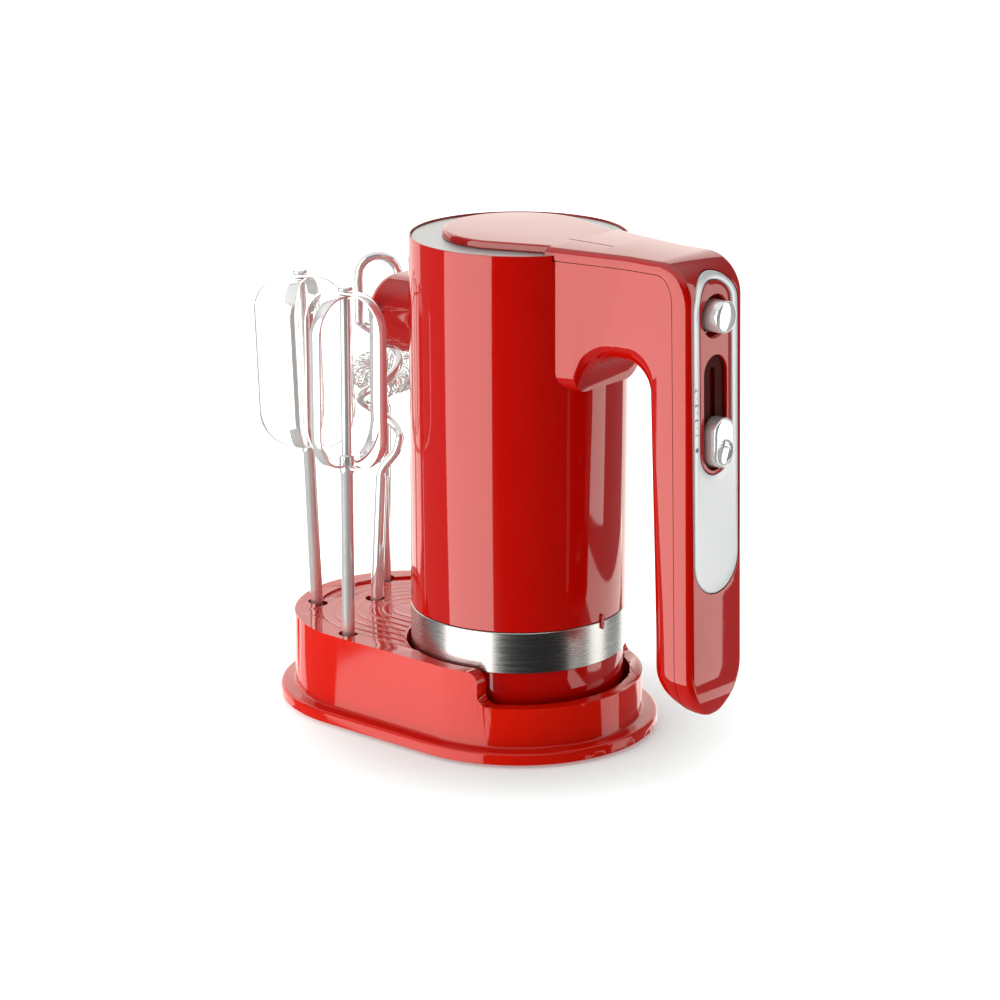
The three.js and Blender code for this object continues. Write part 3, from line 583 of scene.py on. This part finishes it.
# Cover: the teardrop cap, the arm's top and the handle's outer half. The outlines of the trim and the
# inset are half widths with their lowest and highest points.
TRIM_HALF, TRIM_LOW, TRIM_HIGH = 15.0, 79.6, 212.6
INSET_HALF, INSET_LOW, INSET_HIGH = 10.6, 129.4, 209.3
cap_edge = [(0.0, RING_Z + 0.3), (0.05, CAP_Z - 2.5), (0.3, CAP_Z - 1.2), (0.5, CAP_Z - 0.6),
            (0.8, CAP_Z - 0.25), (1.3, CAP_Z - 0.05), (2.0, CAP_Z)]
cap_rings = [[(x, y, z) for x, y in clipped(cap_plan(inset), 40)] for inset, z in cap_edge]
cap_disc = skin("cap_disc", cap_rings)
cover = combine(arm_solid("top_cover_skin"),
                region("cover_part", PART_TOP - PART_GAP / 2, PART_SIDE - PART_GAP / 2), "INTERSECT")
cover = minus(cover, post("over_body", BODY_R + FIT, 0, CAP_Z - PART_TOP + FIT, 160))
cover = minus(cover, turned_x("button_way", [(7, 80), (7, 115)], 0, BUTTON_Z, 48))
cover = minus(cover, face_solid("trim_pocket", TRIM_HALF + FIT, TRIM_LOW - FIT, TRIM_HIGH + FIT,
                                [(0, -9), (0, 2 + FIT)]))
cover = minus(cover, face_solid("inset_pocket", INSET_HALF, INSET_LOW, INSET_HIGH, [(0, -9), (0, 3.8)]))
cover = minus(cover, prism("stem_way", [(-2, 135), (2, 135), (2, 174), (-2, 174)], 90, 112, "yz"))
contact_way = [(-4.6, 134), (4.6, 134), (4.6, 176.5), (-4.6, 176.5)]
cover = minus(cover, prism("contact_way", contact_way, 84, 96.6, "yz"))
cover = plus(cover, cap_disc)

# A shallow line on the cap, beside the arm's middle
line_y = -5.3
cap_line = [(along, across + line_y) for across, along in face_outline(0.4, 30.6, 53.9, 0, 6, 2)]
cover = minus(cover, prism("cap_line", cap_line, CAP_Z - 0.5, CAP_Z + 2, "xy"))
place(smooth(cover), "mixer", "body_red", "top_cover")


# Silver trim: a band between its outer stadium and the inset's edge
def trim_ring(share, grow_out, grow_in, depth):
    """A ring at a share of the way from the outer stadium to the inset's edge."""
    outer = face_outline(TRIM_HALF, TRIM_LOW, TRIM_HIGH, grow_out)
    inner = face_outline(INSET_HALF, INSET_LOW, INSET_HIGH, grow_in)
    return [on_face(a[0] + (b[0] - a[0]) * share, a[1] + (b[1] - a[1]) * share, depth)
            for a, b in zip(outer, inner)]


trim_crown = 0.12
trim_edge = [(0.0, 2.0), (0.0, 0.55), (0.08, 0.3), (0.3, 0.1), (0.7, 0.0)]
trim_rings = [trim_ring(0, -inset, 0, depth) for inset, depth in trim_edge]
trim_rings += [trim_ring(share, -0.7, 0.5, -trim_crown * math.sin(math.pi * share))
               for share in np.linspace(0, 1, 13)[1:-1]]
trim_rings += [trim_ring(1, 0, inset * 0.7, depth) for inset, depth in reversed(trim_edge)]
place(smooth(skin("trim_skin", trim_rings, wrap=True), 45), "mixer", "silver_trim", "trim_panel")

# Red inset with the button's counterbore and the slider's slot
inset_half = INSET_HALF - FIT
inset_piece = face_solid("inset_skin", inset_half, INSET_LOW + FIT, INSET_HIGH - FIT,
                         plateau(inset_half, 1.6, 0.25, 0.3))
slot_half, slot_low, slot_high = 7.6, 131.2, 178.6
slot_cut = face_solid("slot_cut", slot_half, slot_low, slot_high, [(-1.0, -1.0), (0.0, 0.6), (0.0, 4.0)])
bore_x = HANDLE_OUT + lean(BUTTON_Z)
bore = turned_x("bore", [(8.4, 92), (8.4, bore_x - 1.0), (9.6, bore_x + 0.4), (9.6, bore_x + 6)],
                0, BUTTON_Z, 64)
place(smooth(minus(inset_piece, slot_cut, bore)), "mixer", "body_red", "control_inset")
track = face_solid("track_skin", slot_half + 2.0, slot_low - 0.6, slot_high + 1.4, [(0, 1.9), (0, 3.5)])
track = minus(track, prism("stem_slit", face_outline(1.7, 135.5, 173.5, 0, 8, 2), 90, 110, "yz"))
place(smooth(track), "mixer", "dark_plastic", "slider_track", finish=slot_shade)

# Release button
button_back = cad("eject_button")[0].x
button = turned_x("button_skin", [
    (0, button_back), (6.6, button_back), (6.6, BUTTON_FACE - 1.1), (6.52, BUTTON_FACE - 0.75),
    (6.25, BUTTON_FACE - 0.45), (5.6, BUTTON_FACE - 0.18), (4.2, BUTTON_FACE - 0.06), (2.0, BUTTON_FACE),
    (0, BUTTON_FACE)], 0, BUTTON_Z, 96)
place(smooth(button), "eject", "chrome_parts", "eject_button")

# Speed slider, with a thumb rest sunk in its lower half
knob_low, knob_high = cad("speed_slider")[0].z, cad("speed_slider")[1].z
knob_half = cad("speed_slider")[1].y
knob = face_solid("slider_skin", knob_half, knob_low, knob_high, plateau(knob_half, 1.5, -4.6, 1.1, 6, 24))
rest_z = knob_low + knob_half + 0.4
rest_r, rest_dip = 5.2, 1.1
slope_dip, slope_start, slope_long = 1.2, 3, 12
for vert in knob.data.vertices:
    y, z = vert.co.y, vert.co.z
    proud = vert.co.x - HANDLE_OUT - lean(z)
    if proud > 4.0:
        away = math.hypot(y, z - rest_z) / rest_r
        dip = rest_dip * math.sqrt(max(0.0, 1 - away ** 2))
        slope = slope_dip * max(0.0, (rest_z + slope_start - z) / slope_long)
        vert.co.x -= dip + slope
stem = prism("stem", [(-1.3, 138.5), (1.3, 138.5), (1.3, 148), (-1.3, 148)], 96, 103, "yz")
place(smooth(plus(knob, stem), 38), "speed_control", "chrome_parts", "speed_slider")

# Speed marks, read along the handle from the off mark upwards
MARK_Y = -12.9
MARK_PITCH = 3.05
MARK_FIRST = 148.2
MARK_THICK = 0.03
MARK_DEPTH = -0.15
OFF_DROP = 6.2


def face_mark(name, z, size, text=None):
    """A printed number, or a dot where there is no text."""
    if text:
        curve = bpy.data.curves.new(name, "FONT")
        curve.body = text
        curve.size = size
        curve.align_x = "CENTER"
        curve.align_y = "CENTER"
        curve.extrude = MARK_THICK
        curve.offset = 0.05
        word = bpy.data.objects.new(name, curve)
        bpy.context.scene.collection.objects.link(word)
        settled = word.evaluated_get(bpy.context.evaluated_depsgraph_get())
        mesh = bpy.data.meshes.new_from_object(settled)
        bpy.data.objects.remove(word)
        obj = bpy.data.objects.new(name, mesh)
        bpy.context.scene.collection.objects.link(obj)
    else:
        profile = [(0, -MARK_THICK), (size / 2, -MARK_THICK), (size / 2, MARK_THICK), (0, MARK_THICK)]
        obj = turned(name, profile, 24)
    centre = Vector(on_face(MARK_Y, z, MARK_DEPTH))
    turn = Matrix(((0, 0, 1, 0), (0, -1, 0, 0), (1, 0, 0, 0), (0, 0, 0, 1)))
    obj.data.transform(Matrix.Translation(centre) @ turn)
    return place(obj, "mixer", "silver_trim", finish=ink)


for k in range(7):
    z = MARK_FIRST + MARK_PITCH * k
    if k % 2:
        face_mark(f"speed_dot_{k + 1}", z, 0.55)
    else:
        face_mark(f"speed_mark_{k + 1}", z, 2.6, str(k + 1))
face_mark("off_mark", MARK_FIRST - OFF_DROP, 1.9)


# Socket housing
def housing_ring(r, x):
    """The socket housing's outline at a distance from the barrel's axis."""
    side = 9
    return [(-x, y, z) for y, z in
            arc(side, SOCKET_Z, r, -90, 90, 32) + arc(-side, SOCKET_Z, r, 90, 270, 32)]


housing_r, round_r = 16.5, 5.9
housing_edge = arc(housing_r - round_r, HOUSING_X - round_r, round_r, 0, 90, 12)
housing = skin("housing_skin", [housing_ring(r, x) for r, x in [(housing_r, 38), *housing_edge]])
hollow_rings = [housing_ring(r, x) for r, x in ((14, 30), (14, 57), (9.4, 62.4))]
housing = minus(housing, post("barrel_space", BODY_R + FIT, 100, 230, 160),
                skin("housing_hollow", hollow_rings))
for y in (-SOCKET_Y, SOCKET_Y):
    housing = minus(housing, turned_x("socket_hole", [(5, -70), (5, -30)], y, SOCKET_Z, 40))
place(smooth(housing), "mixer", "body_red", "socket_housing")
spindle_end = cad("drive_spindle_1")[1].x
for n, y in ((1, -SOCKET_Y), (2, SOCKET_Y)):
    tube = turned_x(f"spindle_{n}_skin", [
        (3.05, SOCKET_X + 0.5), (3.4, SOCKET_X), (4.3, SOCKET_X), (4.6, SOCKET_X + 0.3), (4.6, spindle_end),
        (3.05, spindle_end)], y, SOCKET_Z, 40, wrap=True)
    place(smooth(tube), f"drive_{n}", "shaft_steel", f"drive_spindle_{n}")


# ---------------------------------------------------------------- stand
def stand_outline(r, turn_steps=72, side_steps=30):
    """The stand from above: two half circles and two straight sides."""
    right_turn = arc(0, 0, r, -90, 90, turn_steps)
    left_turn = arc(STAND_END, 0, r, 90, 270, turn_steps)
    back = [(x, r) for x in np.linspace(0, STAND_END, side_steps + 1)[1:-1]]
    front = [(x, -r) for x in np.linspace(STAND_END, 0, side_steps + 1)[1:-1]]
    return right_turn + back + left_turn + front


def stand_skin(name, profile):
    """A closed surface round the stand, from a profile of (radius, z)."""
    return skin(name, [[(x, y, z) for x, y in stand_outline(r)] for r, z in profile])


def step_tool(name):
    """Everything over the low cup, with the S step's two arcs."""
    above, beyond = 60, 80
    outline = [(STEP_X, above)]
    outline += arc(STEP_X, DECK_Z - STEP_R, STEP_R, 90, 0, 12)
    outline += arc(STEP_X + 2 * STEP_R, CUP_Z + STEP_R, STEP_R, 180, 270, 12)
    outline += [(beyond, CUP_Z), (beyond, above)]
    return prism(name, outline, -beyond, beyond, "xz")


WELLS = {
    "beater_1": (-96.9, -22.1), "beater_2": (-56.6, -46.1),
    "dough_hook": (-82.4, -0.6), "whisk": (-97.2, 22.4),
}
HOLE_R = 4.4
flange_top = well_floor = 6.6
wall_foot = flange_top + 1.4
deck_inset = 9.3
deck_drop = 1.0
flange_edge = 1.7
stand = stand_skin("stand_skin", [
    (FLANGE_R - 0.3, FLANGE_LOW), (FLANGE_R, FLANGE_LOW + 0.3),
    *arc(FLANGE_R - flange_edge, flange_top - flange_edge, flange_edge, 0, 90, 6),
    (STAND_R + 1.2, flange_top + 0.05), (STAND_R + 0.55, flange_top + 0.3),
    (STAND_R + 0.15, flange_top + 0.8), (STAND_R, wall_foot), (STAND_R, DECK_Z)])
stand = minus(stand, step_tool("step"))
stand = minus(stand, post("cup", CUP_R, CUP_FLOOR, 60, 144))
recess_r = STAND_R - deck_inset
recess = stand_skin("recess", [(recess_r - 0.4, DECK_Z - deck_drop), (recess_r + 0.4, DECK_Z + 1)])
stand = minus(stand, recess)
stand = eased(stand, 1.15, 4, 40)


def well(r, x, y):
    """A tool for the well of one shank."""
    return post("well", r, well_floor, 60, 48, (x, y))


for x, y in WELLS.values():
    stand = minus(stand, well(HOLE_R, x, y))
place(smooth(stand, 32), "stand", "stand_red", "stand_shell")


# The deck's sunk middle, with soft ripples that follow the stand's outline
def ripple_height(x, r):
    """Height of the ripples, stronger near the body and fading at both ends."""
    pitch = 5.2
    soft, strong = 0.1, 0.34
    near_body = 1 / (1 + math.exp(-(x + 66) / 9))
    inner_fade = min(max((r - 6) / 8, 0), 1)
    outer_fade = min(max((recess_r - 0.6 - r) / 2.5, 0), 1)
    return (soft + strong * near_body) * inner_fade * outer_fade * math.cos(2 * math.pi * r / pitch)


deck_r = recess_r - 0.75
base = DECK_Z - deck_drop - 0.55
rings = [[(x, y, base - 0.3) for x, y in stand_outline(deck_r)]]
for r in np.linspace(deck_r, 0.05, 150):
    rings.append([(x, y, base + 0.5 + ripple_height(x, r)) for x, y in stand_outline(r)])
deck = skin("deck_ripples", rings)
deck = minus(deck, post("cup_space", CUP_R + 1.3, 0, 60, 144))
for x, y in WELLS.values():
    deck = minus(deck, well(HOLE_R - 0.1, x, y))
place(smooth(deck, 40), "stand", "stand_red")


# ---------------------------------------------------------------- attachments
def stood(obj, name, slope):
    """Leans a piece built upright from its lower end and stands it in its well."""
    x, y = WELLS[name]
    away = slope * (REST_Z - MID_WELL)
    angle = math.atan(slope)
    spot = Vector((x + away * RIGHT[0], y + away * RIGHT[1], REST_Z))
    turn = Matrix.Rotation(VIEW_TURN, 4, "Z") @ Matrix.Rotation(angle, 4, "Y")
    obj.data.transform(Matrix.Translation(spot) @ turn)
    return obj


SHANK_R = 2.75
SHANK_TIP = [(0, 0.3), (1.9, 0.3), (2.4, 0.7), (SHANK_R, 1.6)]


def shank_key():
    """The two flat ears of a shank."""
    return prism("key", [(-3.8, -0.6), (3.8, -0.6), (3.8, 0.6), (-3.8, 0.6)], 16, 20, "xy")


def beater(name, slope, head_low, tip, half, turn):
    """A shaft with a collar and a riveted tip, and two flat loops crossed on it."""
    low, top = head_low - REST_Z, tip - REST_Z
    wide, thin, corner = 5.0, 1.1, 15.0
    shaft = turned(f"{name}_shaft_skin", [
        *SHANK_TIP, (SHANK_R, low - 3), (3.3, low - 2), (3.3, low + 4.2), (3.0, low + 5), (2.2, low + 5.5),
        (2.2, top - 2.7), (1.1, top - 2.6), (1.1, top + 0.9), (3.2, top + 1), (3.4, top + 1.3),
        (3.4, top + 2), (3.0, top + 2.6), (2.0, top + 2.85), (0, top + 2.9)], 40)
    place(smooth(stood(plus(shaft, shank_key()), name, slope)), name, "chrome_parts", f"{name}_shaft")
    for second, label in enumerate(("outer", "inner")):
        under = second * (thin + 0.3)
        w = half - second * 0.4
        side = [(3.9, low + under)]
        side += arc(w - corner, low + under + corner, corner, -90, 0, 20)
        side += arc(w - corner, top - under - corner, corner, 0, 90, 20)
        path = [(x, 0, z) for x, z in side + [(-x, z) for x, z in reversed(side)]]
        strip = swept("strip", path, strip_section(wide, thin, 0.3), (0, 1, 0))
        strip.name = f"{name}_{label}_skin"
        strip.data.transform(Matrix.Rotation(math.radians(turn + 90 * second), 4, "Z"))
        place(smooth(stood(strip, name, slope)), name, "chrome_parts", f"{name}_{label}_loop")


beater("beater_1", -0.0336, 110.5, 186.5, 20.8, -12)
beater("beater_2", 0.002, 113.5, 189.0, 19.9, -37)

# Dough hook: thick shaft, a bend out, one and a half turns of wire, then an arch over the top
HOOK_LEAN = 0.048
HOOK_R = 8.6
HOOK_WIRE = 2.0
SLANTED = (0.31, 0.87, 0.38)
helix_low, helix_top = 112 - REST_Z, 165 - REST_Z


def hook_centre(z):
    """Where the hook's middle line is, across the leaning shank."""
    return 3 - HOOK_LEAN * (z + REST_Z - MID_WELL)


hook_points = [(0, 0, 92 - REST_Z), (0, 0, 97 - REST_Z), (2.6, -0.4, 101.5 - REST_Z),
               (6, -1, 106.5 - REST_Z)]
for share in np.linspace(0, 1, 31):
    angle = 3 * math.pi * share
    z = helix_low + (helix_top - helix_low) * share
    hook_points.append((hook_centre(z) + HOOK_R * math.cos(angle), HOOK_R * math.sin(angle), z))
hook_points.append((hook_centre(178 - REST_Z) - HOOK_R, 0.4, 178 - REST_Z))
for k in range(9):
    angle = math.pi * k / 8
    z = 184 - REST_Z + 9 * math.sin(angle)
    hook_points.append((hook_centre(z) - HOOK_R * math.cos(angle), 0.6 + 0.4 * k, z))
hook_points.append((hook_centre(176 - REST_Z) + HOOK_R, 4, 176 - REST_Z))
hook = swept("hook_wire_skin", smoothed(hook_points, 4), circle(HOOK_WIRE, 20), SLANTED)
place(smooth(stood(hook, "dough_hook", HOOK_LEAN)), "dough_hook", "chrome_parts", "dough_hook_wire")
hook_top = 95 - REST_Z
hook_shaft = turned("hook_shaft_skin", [
    *SHANK_TIP, (SHANK_R, hook_top - 0.4), (2.6, hook_top), (0, hook_top)], 40)
hook_shaft = plus(hook_shaft, shank_key())
place(smooth(stood(hook_shaft, "dough_hook", HOOK_LEAN)), "dough_hook", "chrome_parts", "dough_hook_shaft")

# Coil whisk: shaft, a ring on one bent spoke and a coil wound round the ring
WHISK_LEAN = 0.01
ring_r, coil_r, ring_z = 10.0, 5.2, 135 - REST_Z
coil_turns, coil_gap = 26, 0.26
whisk_tilt = (Matrix.Translation((0, 0, ring_z)) @ Matrix.Rotation(math.radians(14), 4, "X")
              @ Matrix.Translation((0, 0, -ring_z)))
coil_path = []
for share in np.linspace(0, 1, coil_turns * 28 + 1):
    around = coil_gap + (2 * math.pi - 2 * coil_gap) * share
    wind = 2 * math.pi * coil_turns * share
    r = ring_r + coil_r * math.cos(wind)
    coil_path.append((r * math.cos(around), r * math.sin(around), ring_z + coil_r * math.sin(wind)))
coil = swept("coil_skin", coil_path, circle(0.52, 10), SLANTED)
coil.data.transform(whisk_tilt)
place(smooth(stood(coil, "whisk", WHISK_LEAN)), "whisk", "chrome_parts", "whisk_coil")
ring_path = [(x, y, ring_z) for x, y in circle(ring_r, 96)]
whisk_ring = swept("whisk_shaft_skin", ring_path, circle(1.5, 16), (0, 0, 1), wrap=True)
spoke_points = [(0, 0, ring_z - 14), (2, 0, ring_z - 11), (8, 0, ring_z - 8), (10, 0, ring_z - 4),
                (ring_r, 0, ring_z)]
spoke = swept("spoke", smoothed(spoke_points, 6), circle(1.2, 16), (0, 1, 0))
whisk_ring = plus(whisk_ring, spoke)
whisk_ring.data.transform(whisk_tilt)
whisk_shaft = turned("whisk_post", [
    *SHANK_TIP, (SHANK_R, ring_z - 15.6), (2.0, ring_z - 14.6), (1.4, ring_z - 11), (0, ring_z - 11)], 40)
whisk_ring = plus(whisk_ring, whisk_shaft, shank_key())
place(smooth(stood(whisk_ring, "whisk", WHISK_LEAN)), "whisk", "chrome_parts", "whisk_shaft")

# ---------------------------------------------------------------- camera
camera_data = bpy.data.cameras.new("camera")
camera_data.lens = 119.15
camera_data.sensor_width = 36
camera_data.clip_end = 50
camera = bpy.data.objects.new("camera", camera_data)
bpy.context.scene.collection.objects.link(camera)
eye = Vector((859.72, -1037.27, 497.04)) * MM
aim = Vector((-6.05, -5.08, 99.0)) * MM
camera.matrix_world = Matrix.Translation(eye) @ (aim - eye).to_track_quat("-Z", "Y").to_matrix().to_4x4()
bpy.context.scene.camera = camera

# ---------------------------------------------------------------- floor and light
# A pale floor that glows, but less close to the object: the dimmer glow there is a painted shadow round the
# stand. Its blue-green base colour cancels the red light the stand bounces onto it.
floor_mesh = bpy.data.meshes.new("floor")
reach = 12.0
floor_corners = [(-reach, -reach, 0), (reach, -reach, 0), (reach, reach, 0), (-reach, reach, 0)]
floor_mesh.from_pydata(floor_corners, [], [(0, 1, 2, 3)])
floor = bpy.data.objects.new("floor", floor_mesh)
bpy.context.scene.collection.objects.link(floor)
floor_look = bpy.data.materials.new("floor_look")
floor_look.use_nodes = True
fn, fl = floor_look.node_tree.nodes, floor_look.node_tree.links
pale = fn["Principled BSDF"]
pale.inputs["Base Color"].default_value = (0.66, 0.72, 0.72, 1)
pale.inputs["Roughness"].default_value = 1.0
pale.inputs["Specular IOR Level"].default_value = 0.0
pale.inputs["Emission Color"].default_value = (0.94, 1.0, 1.0, 1)
where = fn.new("ShaderNodeTexCoord")
away = fn.new("ShaderNodeVectorMath")
away.operation = "LENGTH"
# Weaker glow near the object, as a painted shadow round the stand.
glow_with_painted_shadow = remap(fn, (0.05, 0.17), (0.26, 0.95), "SMOOTHSTEP")
fl.new(where.outputs["Object"], away.inputs[0])
fl.new(away.outputs["Value"], glow_with_painted_shadow.inputs["Value"])
fl.new(glow_with_painted_shadow.outputs["Result"], pale.inputs["Emission Strength"])
floor_mesh.materials.append(floor_look)
floor.visible_glossy = False
floor.visible_shadow = False

FRONT = math.atan2(-math.cos(VIEW_TURN), math.sin(VIEW_TURN))
WARM = (1.0, 0.95, 0.88)


def softbox(name, turn, height, distance, width, tall, power):
    """A rectangular light at an angle to the right of the camera's direction, facing the body."""
    angle = FRONT + math.radians(turn)
    spot = Vector((distance * math.cos(angle), distance * math.sin(angle), height))
    data = bpy.data.lights.new(name, "AREA")
    data.shape = "RECTANGLE"
    data.size = width
    data.size_y = tall
    data.energy = power * width * tall * math.pi
    data.color = WARM
    lamp = bpy.data.objects.new(name, data)
    bpy.context.scene.collection.objects.link(lamp)
    lamp.visible_camera = False
    facing = (Vector((0, 0, height)) - spot).to_track_quat("-Z", "Y")
    lamp.matrix_world = Matrix.Translation(spot) @ facing.to_matrix().to_4x4()


softbox("left_box", -55, 0.2, 1.5, 1.53, 2.6, 2.9)
softbox("right_strip", 91, 0.36, 1.5, 0.58, 1.75, 2.1)
softbox("right_low", 100, -0.70, 1.5, 3.0, 0.16, 1.6)
softbox("back_box", 189, 0.35, 1.6, 3.6, 2.2, 1.55)

# White behind the object. The light it gives is dim, almost none from one side, and stronger from above.
DARK_TURN = 27
world = bpy.data.worlds.new("world")
bpy.context.scene.world = world
world.use_nodes = True
wn, wl = world.node_tree.nodes, world.node_tree.links
seen = wn["Background"]
seen.inputs["Strength"].default_value = 1.0
light = wn.new("ShaderNodeBackground")
way = wn.new("ShaderNodeTexCoord")
facing = wn.new("ShaderNodeVectorMath")
facing.operation = "DOT_PRODUCT"
dark_turn = FRONT + math.radians(DARK_TURN)
facing.inputs[1].default_value = (math.cos(dark_turn), math.sin(dark_turn), 0)
fall = remap(wn, (0.42, 0.66), (0.22, 0.02), "SMOOTHSTEP")
ray = wn.new("ShaderNodeLightPath")
pick = wn.new("ShaderNodeMixShader")
wl.new(way.outputs["Generated"], facing.inputs[0])
wl.new(facing.outputs["Value"], fall.inputs["Value"])
tilt = wn.new("ShaderNodeSeparateXYZ")
overhead = remap(wn, (0.5, 0.85), (0.0, 0.7), "SMOOTHSTEP")
both = wn.new("ShaderNodeMath")
both.operation = "ADD"
wl.new(way.outputs["Generated"], tilt.inputs["Vector"])
wl.new(tilt.outputs["Z"], overhead.inputs["Value"])
wl.new(fall.outputs["Result"], both.inputs[0])
wl.new(overhead.outputs["Result"], both.inputs[1])
wl.new(both.outputs["Value"], light.inputs["Strength"])
wl.new(ray.outputs["Is Camera Ray"], pick.inputs["Fac"])
wl.new(light.outputs["Background"], pick.inputs[1])
wl.new(seen.outputs["Background"], pick.inputs[2])
wl.new(pick.outputs["Shader"], wn["World Output"].inputs["Surface"])
for node in (seen, light):
    node.inputs["Color"].default_value = (1, 1, 1, 1)

bpy.context.scene.view_settings.view_transform = "Standard"
bpy.context.scene.view_settings.look = "None"
